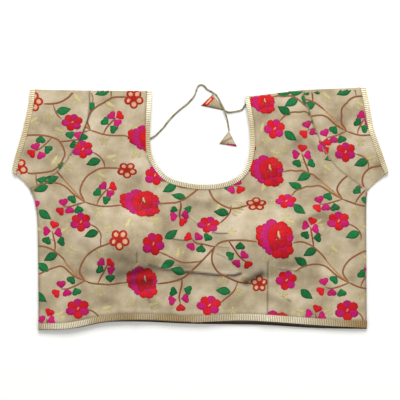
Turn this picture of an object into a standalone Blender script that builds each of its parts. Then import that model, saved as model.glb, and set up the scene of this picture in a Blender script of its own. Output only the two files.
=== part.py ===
"""A padded blouse laid flat, front up: two cloth layers, two foam cups, braid trims and two neck strings.

Metres, +Z up, +Y towards the neck. The origin is the centre of the garment's box on the surface it lies on.
"""

import math

import bmesh
import bpy
import numpy as np
from mathutils.geometry import delaunay_2d_cdt

# Driving sizes
CLOTH = 0.0018          # a panel's wall: embroidered cloth with its backing
SEAM = 0.0003           # gap between pieces that touch
LAYER_GAP = 0.0004      # gap between the two layers at a closed edge
BRAID = 0.0009          # braid thickness
NECK_BRAID_WIDTH = 0.0066
CUFF_BRAID_WIDTH = 0.0075
HEM_BRAID_WIDTH = 0.0098
PUFF = 0.0022           # how far the upper layer floats off the lower one
PUFF_REACH = 0.028      # distance from a closed edge over which it lifts
CUP_RISE = 0.023        # height of a dome over the panel round it
PAD_THICKNESS = 0.0065
PAD_RIM = 0.0014
STRING_DIAMETER = 0.0026
STRING_REST = 0.0014    # height of a string's centre where it lies on the surface
PLACKET_WIDTH = 0.024
PLACKET_THICKNESS = 0.0011
PLACKET_INSET = 0.004   # how far its ends stop short of the neck and the hem
CENTRE_CLEARANCE = 0.0060   # no other station lies this close to the centre-back edge

# Sampling of the surfaces
EDGE_STEP = 0.0095
COARSE_STEP = 0.0150
FINE_STEP = 0.0088
BACK_STEP = 0.030
FRONT_NECK_STEP = 0.0085
BACK_NECK_STEP = 0.0100
SIDE_STEP = 0.0140
HEM_STEP = 0.0120
BRAID_RAMP = (0.004, 0.012)   # where the lower layer starts and ends its rise onto a braid
CUP_MARGIN = 1.15             # the fine sampling goes this far past a pad's rim, in pad radii
FOLDS_HALF_WIDTH = 0.06       # and covers the folds between the cups
FOLDS_FOOT = -0.11
HEM_REACH = 0.026             # how far above the back's hem the fine sampling goes

# Corners where the outline's stretches meet: x, y
LEFT_SHOULDER_END = (-0.1666, 0.1763)
LEFT_NECK_CORNER = (-0.0730, 0.1751)
RIGHT_NECK_CORNER = (0.0658, 0.1664)
RIGHT_SHOULDER_END = (0.1535, 0.1773)
LEFT_UNDERARM = (-0.2560, 0.0290)
RIGHT_UNDERARM = (0.2500, 0.0270)
LEFT_HEM_CORNER = (-0.2428, -0.1823)
RIGHT_HEM_CORNER = (0.2488, -0.1790)

# Stretches of the outline between those corners: x, y of the points that each curve runs through
LEFT_ARMHOLE = (
    LEFT_UNDERARM, (-0.2305, 0.0423), (-0.2060, 0.0640), (-0.1855, 0.0956),
    (-0.1705, 0.1300), (-0.1666, 0.1533), LEFT_SHOULDER_END,
)
RIGHT_ARMHOLE = (
    RIGHT_SHOULDER_END, (0.1562, 0.1620), (0.1655, 0.1350), (0.1745, 0.1113),
    (0.1850, 0.0870), (0.2040, 0.0610), (0.2290, 0.0415), RIGHT_UNDERARM,
)
FRONT_NECK = (
    LEFT_NECK_CORNER, (-0.0752, 0.1340), (-0.0757, 0.0980), (-0.0700, 0.0730), (-0.0500, 0.0475),
    (-0.0200, 0.0375), (0.0100, 0.0350), (0.0420, 0.0402), (0.0640, 0.0560), (0.0737, 0.0860),
    (0.0738, 0.1166), (0.0700, 0.1440), RIGHT_NECK_CORNER,
)
BACK_NECK = (
    (-0.0768, 0.1751), (-0.0830, 0.1400), (-0.0862, 0.0980), (-0.0800, 0.0560), (-0.0560, 0.0190),
    (-0.0200, 0.0030), (0.0200, 0.0030), (0.0560, 0.0190), (0.0795, 0.0560), (0.0855, 0.0980),
    (0.0800, 0.1400), (0.0705, 0.1668),
)
LEFT_SIDE = (LEFT_UNDERARM, (-0.2490, 0.0130), (-0.2447, -0.0192), (-0.2432, -0.0987), LEFT_HEM_CORNER)
RIGHT_SIDE = (RIGHT_UNDERARM, (0.2482, 0.0080), (0.2480, -0.0500), RIGHT_HEM_CORNER)
FRONT_HEM = (
    LEFT_HEM_CORNER, (-0.2050, -0.1815), (-0.1810, -0.1780), (-0.1405, -0.1700), (-0.0865, -0.1674),
    (-0.0160, -0.1705), (0.0530, -0.1677), (0.0980, -0.1690), (0.1730, -0.1746), RIGHT_HEM_CORNER,
)
BACK_HEM = (
    LEFT_HEM_CORNER, (-0.2050, -0.1815), (-0.1800, -0.1785), (-0.1405, -0.1708), (-0.0865, -0.1700),
    (-0.0160, -0.1730), (0.0530, -0.1740), (0.0980, -0.1750), (0.1730, -0.1795), (0.2488, -0.1808),
)
LEFT_CUFF = (
    (-0.2554, 0.1781), (-0.2575, 0.1560), (-0.2662, 0.1158), (-0.2768, 0.0800), (-0.2817, 0.0600),
    (-0.2800, 0.0525),
)
RIGHT_CUFF = (
    (0.2468, 0.1812), (0.2510, 0.1620), (0.2585, 0.1203), (0.2680, 0.0920), (0.2788, 0.0620),
    (0.2809, 0.0543),
)
LEFT_UNDERSLEEVE = ((-0.2800, 0.0525), (-0.2690, 0.0445), (-0.2560, 0.0290))
RIGHT_UNDERSLEEVE = ((0.2809, 0.0543), (0.2620, 0.0385), (0.2500, 0.0270))

# Cups: the dome's centre and its half sizes
CUPS = {
    "left": {"x": -0.1100, "y": -0.0500, "half_width": 0.0640, "half_up": 0.0600, "half_down": 0.0500},
    "right": {"x": 0.0970, "y": -0.0530, "half_width": 0.0620, "half_up": 0.0600, "half_down": 0.0520},
}

# Largest folds of the upper layer: start x, start y, end x, end y, half width, height
FOLDS = (
    (-0.045, -0.078, 0.048, -0.082, 0.0150, 0.0048),
    (-0.038, -0.048, 0.030, -0.042, 0.0140, 0.0030),
    (0.016, -0.036, 0.044, -0.040, 0.0080, 0.0016),
    (0.150, -0.018, 0.190, -0.002, 0.0090, 0.0026),
    (0.150, -0.042, 0.205, -0.030, 0.0100, 0.0022),
    (-0.150, -0.010, -0.200, 0.020, 0.0110, 0.0026),
    (-0.168, -0.048, -0.222, -0.040, 0.0110, 0.0018),
    (-0.085, 0.012, -0.098, 0.060, 0.0120, 0.0018),
    (0.090, 0.012, 0.108, 0.062, 0.0120, 0.0018),
    (-0.076, -0.132, -0.048, -0.149, 0.0090, 0.0022),
    (0.098, -0.124, 0.130, -0.139, 0.0090, 0.0024),
    (-0.200, -0.112, -0.165, -0.140, 0.0120, 0.0018),
    (0.190, -0.100, 0.225, -0.140, 0.0120, 0.0018),
    (-0.010, -0.112, 0.020, -0.150, 0.0120, 0.0016),
    (-0.235, 0.075, -0.262, 0.092, 0.0110, 0.0020),
    (0.205, 0.085, 0.250, 0.110, 0.0120, 0.0022),
    (-0.205, 0.120, -0.238, 0.150, 0.0110, 0.0016),
    (0.180, 0.130, 0.222, 0.152, 0.0110, 0.0016),
)

# Left string, from the back neck edge to its end piece: x, y, height of its centre
LEFT_STRING = (
    (-0.0855, 0.0985, STRING_REST), (-0.0770, 0.1035, STRING_REST), (-0.0685, 0.1085, STRING_REST),
    (-0.0565, 0.1203, STRING_REST), (-0.0470, 0.1325, STRING_REST), (-0.0345, 0.1450, STRING_REST),
    (-0.0190, 0.1578, STRING_REST), (-0.0100, 0.1680, STRING_REST), (-0.0062, 0.1775, STRING_REST),
    (-0.0040, 0.1830, STRING_REST), (0.0005, 0.1852, STRING_REST), (0.0055, 0.1830, STRING_REST),
    (0.0095, 0.1785, STRING_REST), (0.0165, 0.1745, STRING_REST), (0.0228, 0.1705, STRING_REST),
    (0.0275, 0.1632, STRING_REST), (0.0310, 0.1560, 0.0026), (0.0346, 0.1487, 0.0049),
    (0.0374, 0.1410, 0.0047), (0.0396, 0.1335, 0.0023), (0.0410, 0.1265, STRING_REST),
    (0.0424, 0.1165, STRING_REST),
)

# Right string, from the back neck edge to its end piece: x, y, height of its centre
RIGHT_STRING = (
    (0.0730, 0.1589, STRING_REST), (0.0680, 0.1565, STRING_REST), (0.0650, 0.1522, STRING_REST),
    (0.0625, 0.1486, STRING_REST), (0.0575, 0.1461, STRING_REST), (0.0500, 0.1447, STRING_REST),
    (0.0430, 0.1438, STRING_REST), (0.0390, 0.1446, STRING_REST), (0.0362, 0.1462, STRING_REST),
)

# End pieces: a cloth triangle folded to a point round the string. tip x, y, then the base's two corners
END_PIECES = {
    "left": {"tip": (0.04235, 0.1161), "base": ((0.0278, 0.0965), (0.0543, 0.0925)), "thick": 0.0052},
    "right": {"tip": (0.0358, 0.1465), "base": ((0.0000, 0.1540), (0.0182, 0.1712)), "thick": 0.0058},
}
END_PIECE_NECK = 0.0015     # half width where the cloth closes round the string


def clear_scene():
    """Removes the objects of the scene."""
    for obj in list(bpy.data.objects):
        bpy.data.objects.remove(obj)


def cloth_material(name, colour, roughness, metallic=0.0):
    """A Principled material with one colour."""
    material = bpy.data.materials.new(name)
    material.use_nodes = True
    shader = material.node_tree.nodes["Principled BSDF"]
    shader.inputs["Base Color"].default_value = (*colour, 1.0)
    shader.inputs["Roughness"].default_value = roughness
    shader.inputs["Metallic"].default_value = metallic
    return material


def catmull_rom(points, steps=12):
    """Points on a smooth curve through the given ones, open at both ends."""
    knots = np.array(points, float)
    ends = (2 * knots[0] - knots[1], 2 * knots[-1] - knots[-2])
    knots = np.vstack([ends[0], knots, ends[1]])
    curve = []
    for before, start, end, after in zip(knots, knots[1:], knots[2:], knots[3:]):
        for step in range(steps):
            t = step / steps
            curve.append(0.5 * (
                2 * start + (end - before) * t
                + (2 * before - 5 * start + 4 * end - after) * t ** 2
                + (3 * start - before - 3 * end + after) * t ** 3
            ))
    curve.append(knots[-2])
    return np.array(curve)


def even_points(curve, count):
    """That many points, evenly spaced along a polyline."""
    run = np.concatenate([[0], np.cumsum(np.linalg.norm(np.diff(curve, axis=0), axis=1))])
    places = np.linspace(0, run[-1], count)
    return np.column_stack([np.interp(places, run, axis) for axis in curve.T])


def stretch(points, step=EDGE_STEP):
    """One stretch of the outline, smooth and evenly divided."""
    curve = catmull_rom(points)
    length = np.linalg.norm(np.diff(curve, axis=0), axis=1).sum()
    return even_points(curve, max(2, round(length / step) + 1))


def distance(x, y, line):
    """Shortest distance from (x, y) to a polyline."""
    point = np.array((x, y))
    run = line[1:] - line[:-1]
    along = ((point - line[:-1]) * run).sum(axis=1) / (run ** 2).sum(axis=1)
    nearest = line[:-1] + run * np.clip(along, 0, 1)[:, None]
    return float(np.hypot(*(point - nearest).T).min())


def smooth_step(low, high, value):
    """0 below low, 1 above high, and smooth between."""
    t = min(max((value - low) / (high - low), 0.0), 1.0)
    return t * t * (3 - 2 * t)


EDGES = {
    "left_armhole": stretch(LEFT_ARMHOLE),
    "right_armhole": stretch(RIGHT_ARMHOLE),
    "front_neck": stretch(FRONT_NECK, FRONT_NECK_STEP),
    "back_neck": stretch(BACK_NECK, BACK_NECK_STEP),
    "left_side": stretch(LEFT_SIDE, SIDE_STEP),
    "right_side": stretch(RIGHT_SIDE, SIDE_STEP),
    "front_hem": stretch(FRONT_HEM, HEM_STEP),
    "back_hem": stretch(BACK_HEM, HEM_STEP),
    "left_cuff": stretch(LEFT_CUFF),
    "right_cuff": stretch(RIGHT_CUFF),
}
CLOSED_EDGES = (
    EDGES["left_side"],
    EDGES["right_side"],
    np.array([LEFT_CUFF[0], LEFT_SHOULDER_END, LEFT_NECK_CORNER]),
    np.array([RIGHT_NECK_CORNER, RIGHT_SHOULDER_END, RIGHT_CUFF[0]]),
    np.array(LEFT_UNDERSLEEVE),
    np.array(RIGHT_UNDERSLEEVE),
)
BRAIDED_EDGES = (
    (EDGES["back_hem"], HEM_BRAID_WIDTH),
    (EDGES["back_neck"], NECK_BRAID_WIDTH),
    (EDGES["left_cuff"], CUFF_BRAID_WIDTH),
    (EDGES["right_cuff"], CUFF_BRAID_WIDTH),
)


def lower_layer(x, y):
    """Height of the lower layer's underside: on the surface, but lifted where braid lies under it."""
    lift = 0.0
    for line, width in BRAIDED_EDGES:
        fade = smooth_step(width + BRAID_RAMP[0], width + BRAID_RAMP[1], distance(x, y, line))
        lift = max(lift, (BRAID + SEAM) * (1 - fade))
    return lift


def cup_radius(cup, x, y):
    """0 at the dome's centre and 1 on the pad's rim."""
    across = (x - cup["x"]) / cup["half_width"]
    along = (y - cup["y"]) / (cup["half_up"] if y > cup["y"] else cup["half_down"])
    return math.hypot(across, along)


def dome(cup, x, y):
    """Height that a cup gives the upper layer: a low plateau for the pad's rim, and the dome on it."""
    radius = cup_radius(cup, x, y)
    plateau = (PAD_RIM + 2 * SEAM) * (1 - smooth_step(1.05, 1.35, radius))
    return plateau + CUP_RISE * max(0.0, 1 - radius ** 2) ** 1.25


def fold_height(x, y):
    """Height that the soft folds add to the upper layer."""
    total = 0.0
    for x0, y0, x1, y1, half_width, height in FOLDS:
        away = distance(x, y, np.array([(x0, y0), (x1, y1)]))
        total += height * math.exp(-((away / half_width) ** 2))
    return total


def upper_layer(x, y):
    """Height of the upper layer's underside, the same for the front and the sleeves' upper halves."""
    closed = min(distance(x, y, line) for line in CLOSED_EDGES)
    loose = 1 - math.exp(-closed / PUFF_REACH)
    base = lower_layer(x, y) + CLOTH + LAYER_GAP
    domes = sum(dome(cup, x, y) for cup in CUPS.values())
    return base + (PUFF + fold_height(x, y)) * loose + domes


def object_from(mesh_edit, name, material):
    """Turns a bmesh into a smooth-shaded object of the scene."""
    mesh = bpy.data.meshes.new(name)
    mesh_edit.to_mesh(mesh)
    mesh_edit.free()
    mesh.shade_smooth()
    mesh.set_sharp_from_angle(angle=math.radians(40))
    mesh.materials.append(material)
    obj = bpy.data.objects.new(name, mesh)
    bpy.context.scene.collection.objects.link(obj)
    return obj


def inside(points, outline):
    """Which of the points lie inside a closed outline."""
    x, y = points[:, 0], points[:, 1]
    result = np.zeros(len(points), bool)
    for (x0, y0), (x1, y1) in zip(outline, np.roll(outline, -1, axis=0)):
        crosses = (y0 > y) != (y1 > y)
        if y0 != y1:
            result ^= crosses & (x < (x1 - x0) * (y - y0) / (y1 - y0) + x0)
    return result


def inner_points(outline, step, fine_zone, fine_step, rails):
    """The rails' points and staggered rows of others inside the outline, closer where fine_zone is true."""
    low, high = outline.min(axis=0), outline.max(axis=0)
    closed = np.vstack([outline, outline[:1]])
    kept = []
    for rail in rails:
        within = rail[inside(rail, outline)]
        kept += [(x, y) for x, y in within if distance(x, y, closed) > 0.0015]
    on_rails = np.array(kept).reshape(-1, 2)
    for spacing, wanted in ((step, False), (fine_step, True)):
        rows = int((high[1] - low[1]) / (spacing * 0.866)) + 1
        columns = int((high[0] - low[0]) / spacing) + 2
        grid = np.array([
            (low[0] + (column + 0.5 * (row % 2)) * spacing, low[1] + row * spacing * 0.866)
            for row in range(rows) for column in range(columns)
        ])
        grid = grid[inside(grid, outline)]
        for x, y in grid:
            clear = not len(on_rails) or np.hypot(*(on_rails - (x, y)).T).min() > 0.6 * spacing
            if clear and fine_zone(x, y) == wanted and distance(x, y, closed) > 0.6 * spacing:
                kept.append((x, y))
    return kept


def panel(name, outline, heights, material, fine_zone, step, rails):
    """A flat-cut panel: its outline filled with triangles, its two faces at heights[0] and heights[1]."""
    points = [tuple(point) for point in outline]
    points += inner_points(outline, step, fine_zone, FINE_STEP, rails)
    loop = [list(range(len(outline)))]
    flat, _, faces, *_ = delaunay_2d_cdt(points, [], loop, 1, 1e-7)
    mesh_edit = bmesh.new()
    lower = [mesh_edit.verts.new((x, y, heights[0](x, y))) for x, y in flat]
    for face in faces:
        mesh_edit.faces.new([lower[index] for index in face])
    made = bmesh.ops.extrude_face_region(mesh_edit, geom=mesh_edit.faces[:])
    for item in made["geom"]:
        if isinstance(item, bmesh.types.BMVert):
            item.co.z = heights[1](item.co.x, item.co.y)
    bmesh.ops.recalc_face_normals(mesh_edit, faces=mesh_edit.faces[:])
    return object_from(mesh_edit, name, material)


def ring_tube(rings, name, material):
    """A closed wall from a row of sections, each one loop of points, joined section to section.

    Every section is a closed loop round the wall's own cross-section, so the first and last are capped.
    """
    mesh_edit = bmesh.new()
    loops = [[mesh_edit.verts.new(point) for point in ring] for ring in rings]
    for first, second in zip(loops, loops[1:]):
        for index in range(len(first)):
            after = (index + 1) % len(first)
            mesh_edit.faces.new((first[index], first[after], second[after], second[index]))
    mesh_edit.faces.new(loops[0])
    mesh_edit.faces.new(loops[-1])
    bmesh.ops.recalc_face_normals(mesh_edit, faces=mesh_edit.faces[:])
    bmesh.ops.triangulate(mesh_edit, faces=mesh_edit.faces[:])
    return object_from(mesh_edit, name, material)


def inward(line, width, keep_left):
    """A line moved sideways by width: to its left if keep_left, else to its right."""
    run = np.gradient(line, axis=0)
    run /= np.linalg.norm(run, axis=1)[:, None]
    side = np.column_stack([-run[:, 1], run[:, 0]]) * (1 if keep_left else -1)
    return line + side * width


def braid(name, edge, width, keep_left, base, material):
    """A flat braid along an edge, its underside at base(x, y)."""
    rings = []
    for spots in zip(edge, inward(edge, width / 2, keep_left), inward(edge, width, keep_left)):
        ring = [(*spot, base(*spot)) for spot in spots]
        ring += [(x, y, z + BRAID) for x, y, z in reversed(ring)]
        rings.append(ring)
    return ring_tube(rings, name, material)


def sleeve_lines(side):
    """A sleeve's plan as matching lines from the armhole to the cuff, each running from fold to underarm."""
    sign = -1 if side == "left" else 1
    armhole = EDGES[f"{side}_armhole"] if side == "right" else EDGES["left_armhole"][::-1]
    cuff = EDGES[f"{side}_cuff"]
    underarm = np.array(LEFT_UNDERSLEEVE if side == "left" else RIGHT_UNDERSLEEVE)[::-1]
    across = 13
    start = even_points(inward(armhole, SEAM, side == "right"), across)
    start[0] = armhole[0] + (sign * SEAM, 0)
    end = even_points(cuff, across)
    lower = catmull_rom(underarm)
    lines = []
    for share in (0.0, 0.14, 0.28, 0.42, 0.56, 0.70, 0.84, 1.0):
        seam_end = even_points(lower, 101)[round(share * 100)]
        line = start + (end - start) * share
        shift = seam_end - line[-1]
        weights = np.linspace(0, 1, across)[:, None] ** 2
        lines.append(line + shift * weights)
    return lines


def sleeve_section(line, out, low, high):
    """One loop round a sleeve's layers. out moves it away from the wall; low and high are its heights."""
    run = line[-1] - line[0]
    run /= np.linalg.norm(run)
    first, last = line[0] - run * out, line[-1] + run * out
    middle = [0.5 * (low(*spot) + high(*spot)) for spot in (line[0], line[-1])]
    inset = 0.0009
    plan = [first + run * inset, *line[1:-1], last - run * inset]
    upper = [(*spot, high(*spot)) for spot in plan]
    lower = [(*spot, low(*spot)) for spot in reversed(plan)]
    return [(*first, middle[0]), *upper, (*last, middle[1]), *lower]


def tube_wall(name, outer_rings, inner_rings, material):
    """A tube with a wall: outer and inner skins, joined at both open ends."""
    mesh_edit = bmesh.new()
    skins = []
    for rings in (outer_rings, inner_rings):
        loops = [[mesh_edit.verts.new(point) for point in ring] for ring in rings]
        skins.append(loops)
        for first, second in zip(loops, loops[1:]):
            for index in range(len(first)):
                after = (index + 1) % len(first)
                mesh_edit.faces.new((first[index], first[after], second[after], second[index]))
    for end in (0, -1):
        outer, inner = skins[0][end], skins[1][end]
        for index in range(len(outer)):
            after = (index + 1) % len(outer)
            mesh_edit.faces.new((outer[index], outer[after], inner[after], inner[index]))
    bmesh.ops.recalc_face_normals(mesh_edit, faces=mesh_edit.faces[:])
    bmesh.ops.triangulate(mesh_edit, faces=mesh_edit.faces[:])
    return object_from(mesh_edit, name, material)


def sleeve(side, material):
    """A short sleeve folded flat: its fold runs on from the shoulder, its seam from the underarm."""
    outer, inner = [], []
    for line in sleeve_lines(side):
        outer.append(sleeve_section(line, 0.0, lower_layer, lambda x, y: upper_layer(x, y) + CLOTH))
        inner.append(sleeve_section(
            line, -CLOTH, lambda x, y: lower_layer(x, y) + CLOTH, upper_layer))
    return tube_wall(f"sleeve_{side}", outer, inner, material)


def cuff_braid(side, material):
    """Braid round a cuff, over both layers and round the fold and the seam."""
    lines = sleeve_lines(side)
    cuff, next_line = lines[-1], lines[-2]
    outer, inner = [], []
    for share in (0.0, 0.5, 1.0):
        run = next_line - cuff
        reach = np.minimum(CUFF_BRAID_WIDTH * share / np.linalg.norm(run, axis=1), 1.0)[:, None]
        line = cuff + run * reach
        inner.append(sleeve_section(
            line, SEAM, lambda x, y: lower_layer(x, y) - SEAM,
            lambda x, y: upper_layer(x, y) + CLOTH + SEAM))
        outer.append(sleeve_section(
            line, SEAM + BRAID, lambda x, y: lower_layer(x, y) - SEAM - BRAID,
            lambda x, y: upper_layer(x, y) + CLOTH + SEAM + BRAID))
    return tube_wall(f"cuff_braid_{side}", outer, inner, material)


def front_panel(material):
    """The front, with the neck cut out and the domes and folds raised."""
    outline = np.vstack([
        EDGES["left_armhole"][:-1],
        even_points(np.array([LEFT_SHOULDER_END, LEFT_NECK_CORNER]), 9)[:-1],
        EDGES["front_neck"][:-1],
        even_points(np.array([RIGHT_NECK_CORNER, RIGHT_SHOULDER_END]), 9)[:-1],
        EDGES["right_armhole"][:-1],
        EDGES["right_side"][:-1],
        EDGES["front_hem"][::-1][:-1],
        EDGES["left_side"][::-1][:-1],
    ])

    def by_a_cup(x, y):
        nearest_cup = min(cup_radius(cup, x, y) for cup in CUPS.values())
        between = abs(x) < FOLDS_HALF_WIDTH and FOLDS_FOOT < y < 0
        return nearest_cup < CUP_MARGIN or between

    heights = (upper_layer, lambda x, y: upper_layer(x, y) + CLOTH)
    rails = [
        inward(EDGES["front_neck"], NECK_BRAID_WIDTH / 2, False),
        inward(EDGES["front_neck"], NECK_BRAID_WIDTH, False),
        inward(EDGES["front_hem"], HEM_BRAID_WIDTH / 2, True),
        inward(EDGES["front_hem"], HEM_BRAID_WIDTH, True),
    ]
    return panel("front", outline, heights, material, by_a_cup, COARSE_STEP, rails)


def half_edge(name, side):
    """One half of a back edge, ending beside the centre-back opening."""
    line = EDGES[name]
    sign = -1 if side == "left" else 1
    centre = (sign * SEAM / 2, float(np.interp(0, line[:, 0], line[:, 1])))
    rest = line[sign * line[:, 0] > CENTRE_CLEARANCE]
    return np.vstack([rest, [centre]]) if side == "left" else np.vstack([[centre], rest])


def back_outline(side):
    """Half of the back, from the centre-back edge round to the side seam."""
    neck, hem = half_edge("back_neck", side), half_edge("back_hem", side)
    if side == "left":
        centre = even_points(np.array([neck[-1], hem[-1]]), 22)
        shoulder = even_points(np.array([LEFT_SHOULDER_END, neck[0]]), 12)
        return np.vstack([
            centre[:-1], hem[::-1][:-1], EDGES["left_side"][::-1][:-1], EDGES["left_armhole"][:-1],
            shoulder[:-1], neck[:-1],
        ])
    centre = even_points(np.array([hem[0], neck[0]]), 22)
    shoulder = even_points(np.array([neck[-1], RIGHT_SHOULDER_END]), 12)
    return np.vstack([
        centre[:-1], neck[:-1], shoulder[:-1], EDGES["right_armhole"][:-1],
        EDGES["right_side"][:-1], hem[::-1][:-1],
    ])


def back_panel(side, material):
    """Half of the back, flat on the surface but for the braid under its edges."""
    def near_braid(x, y):
        return lower_layer(x, y) > 0 or distance(x, y, EDGES["back_hem"]) < HEM_REACH

    heights = (lower_layer, lambda x, y: lower_layer(x, y) + CLOTH)
    rails = [
        inward(EDGES["back_neck"], NECK_BRAID_WIDTH, False),
        inward(EDGES["back_hem"], HEM_BRAID_WIDTH, True),
    ]
    return panel(f"back_{side}", back_outline(side), heights, material, near_braid, BACK_STEP, rails)


def back_placket(material):
    """The strip that backs the opening down the centre of the back, on its inner side."""
    top = half_edge("back_neck", "left")[-1][1] - PLACKET_INSET
    foot = half_edge("back_hem", "left")[-1][1] + PLACKET_INSET
    rings = []
    for y in np.linspace(top, foot, 24):
        ring = []
        for x in (-PLACKET_WIDTH / 2, 0.0, PLACKET_WIDTH / 2):
            ring.append((x, y, lower_layer(x, y) + CLOTH + 2 * SEAM))
        ring += [(x, y, z + PLACKET_THICKNESS) for x, y, z in reversed(ring)]
        rings.append(ring)
    return ring_tube(rings, "back_placket", material)


def pad(side, material):
    """A foam cup: thick in the middle, thin at the rim, its top just under the front."""
    cup = CUPS[side]
    sectors, rings = 30, 9

    def spot(ring, sector):
        radius = ring / rings
        turn = 2 * math.pi * sector / sectors
        half = cup["half_up"] if math.sin(turn) > 0 else cup["half_down"]
        x = cup["x"] + cup["half_width"] * radius * math.cos(turn)
        return x, cup["y"] + half * radius * math.sin(turn)

    def top(x, y):
        return upper_layer(x, y) - 2 * SEAM

    def bottom(x, y):
        thick = PAD_RIM + (PAD_THICKNESS - PAD_RIM) * max(0.0, 1 - cup_radius(cup, x, y) ** 2)
        return top(x, y) - thick

    mesh_edit = bmesh.new()
    skins = []
    for height in (top, bottom):
        pole = mesh_edit.verts.new((cup["x"], cup["y"], height(cup["x"], cup["y"])))
        loops = []
        for ring in range(1, rings + 1):
            plan = [spot(ring, sector) for sector in range(sectors)]
            loops.append([mesh_edit.verts.new((x, y, height(x, y))) for x, y in plan])
        for index in range(sectors):
            mesh_edit.faces.new((pole, loops[0][index], loops[0][(index + 1) % sectors]))
        for first, second in zip(loops, loops[1:]):
            for index in range(sectors):
                after = (index + 1) % sectors
                mesh_edit.faces.new((first[index], first[after], second[after], second[index]))
        skins.append(loops[-1])
    for index in range(sectors):
        after = (index + 1) % sectors
        mesh_edit.faces.new((skins[0][index], skins[0][after], skins[1][after], skins[1][index]))
    bmesh.ops.recalc_face_normals(mesh_edit, faces=mesh_edit.faces[:])
    bmesh.ops.triangulate(mesh_edit, faces=mesh_edit.faces[:])
    return object_from(mesh_edit, f"pad_{side}", material)


def string(name, route, material):
    """A round cloth string: a bevelled curve with closed ends, points every two diameters or so."""
    smooth = catmull_rom(route, 8)
    length = np.linalg.norm(np.diff(smooth, axis=0), axis=1).sum()
    points = even_points(smooth, round(length / (1.7 * STRING_DIAMETER)) + 1)
    data = bpy.data.curves.new(name, "CURVE")
    data.dimensions = "3D"
    data.bevel_depth = STRING_DIAMETER / 2
    data.bevel_resolution = 2
    data.use_fill_caps = True
    spline = data.splines.new("POLY")
    spline.points.add(len(points) - 1)
    for target, point in zip(spline.points, points):
        target.co = (*point, 1.0)
    data.materials.append(material)
    obj = bpy.data.objects.new(name, data)
    bpy.context.scene.collection.objects.link(obj)
    return obj


def end_piece(side, material):
    """A string's end piece: a small cloth triangle folded to a point, thick in the middle of its body."""
    shape = END_PIECES[side]
    tip, (first, second) = np.array(shape["tip"]), (np.array(corner) for corner in shape["base"])
    across = (second - first) / np.linalg.norm(second - first)
    rings = []
    for share in (0.0, 0.12, 0.30, 0.55, 0.80, 1.0):
        left, right = tip + (first - tip) * share, tip + (second - tip) * share
        thick = shape["thick"] * min(1.0, 0.55 + share) * (1 if share < 1 else 0.8)
        half = (right - left) / 2 if share > 0.1 else across * END_PIECE_NECK
        middle = (left + right) / 2
        ring = []
        for turn in range(10):
            angle = 2 * math.pi * turn / 10
            x, y = middle + half * math.cos(angle)
            ring.append((x, y, thick * (0.5 + 0.5 * math.sin(angle))))
        rings.append(ring)
    return ring_tube(rings, f"end_piece_{side}", material)


def build():
    """Makes every piece of the blouse."""
    cloth = cloth_material("beige_art_silk", (0.62, 0.53, 0.41), 0.55)
    lining = cloth_material("beige_backing_cloth", (0.55, 0.47, 0.36), 0.75)
    foam = cloth_material("cream_foam", (0.78, 0.72, 0.62), 0.9)
    gold = cloth_material("pale_gold_braid", (0.66, 0.55, 0.33), 0.4, 0.35)
    front_panel(cloth)
    for side in ("left", "right"):
        back_panel(side, cloth)
        sleeve(side, cloth)
        pad(side, foam)
        cuff_braid(side, gold)
        end_piece(side, cloth)
    back_placket(lining)

    def on_front(x, y):
        return upper_layer(x, y) + CLOTH + SEAM

    def under_back(x, y):
        return lower_layer(x, y) - SEAM - BRAID

    braid("neck_braid_front", EDGES["front_neck"], NECK_BRAID_WIDTH, False, on_front, gold)
    braid("hem_braid_front", EDGES["front_hem"], HEM_BRAID_WIDTH, True, on_front, gold)
    for side in ("left", "right"):
        neck, hem = half_edge("back_neck", side), half_edge("back_hem", side)
        braid(f"neck_braid_back_{side}", neck, NECK_BRAID_WIDTH, False, under_back, gold)
        braid(f"hem_braid_back_{side}", hem, HEM_BRAID_WIDTH, True, under_back, gold)
    string("string_left", LEFT_STRING, cloth)
    string("string_right", RIGHT_STRING, cloth)


clear_scene()
build()
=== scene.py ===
"""A padded blouse laid flat with its front up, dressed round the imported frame.

Metres, +Y towards the neck, +Z out of the front. The cloth lies on the surfaces that the solids give,
and its embroidery is laid out flat in plan and then draped onto it.
"""

import logging
import math
from collections.abc import Callable, Sequence
from dataclasses import dataclass
from enum import Enum
from functools import partial

import bmesh
import bpy
import numpy as np
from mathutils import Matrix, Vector


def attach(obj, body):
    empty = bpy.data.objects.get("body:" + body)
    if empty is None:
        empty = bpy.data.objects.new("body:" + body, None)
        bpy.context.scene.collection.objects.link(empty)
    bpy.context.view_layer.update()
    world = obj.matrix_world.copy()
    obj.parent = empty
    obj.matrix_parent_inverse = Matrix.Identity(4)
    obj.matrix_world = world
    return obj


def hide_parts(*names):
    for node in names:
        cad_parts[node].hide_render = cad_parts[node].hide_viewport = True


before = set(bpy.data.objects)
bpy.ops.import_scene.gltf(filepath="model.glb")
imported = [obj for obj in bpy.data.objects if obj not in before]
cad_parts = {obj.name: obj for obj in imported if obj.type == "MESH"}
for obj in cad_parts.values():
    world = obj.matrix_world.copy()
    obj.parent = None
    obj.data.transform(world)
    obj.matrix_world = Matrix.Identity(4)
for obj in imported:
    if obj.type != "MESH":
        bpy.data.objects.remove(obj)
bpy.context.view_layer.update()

log = logging.getLogger("padded_blouse")
Points = np.ndarray
Height = Callable[[Points], Points]
Tree = bpy.types.NodeTree
Socket = bpy.types.NodeSocket

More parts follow.
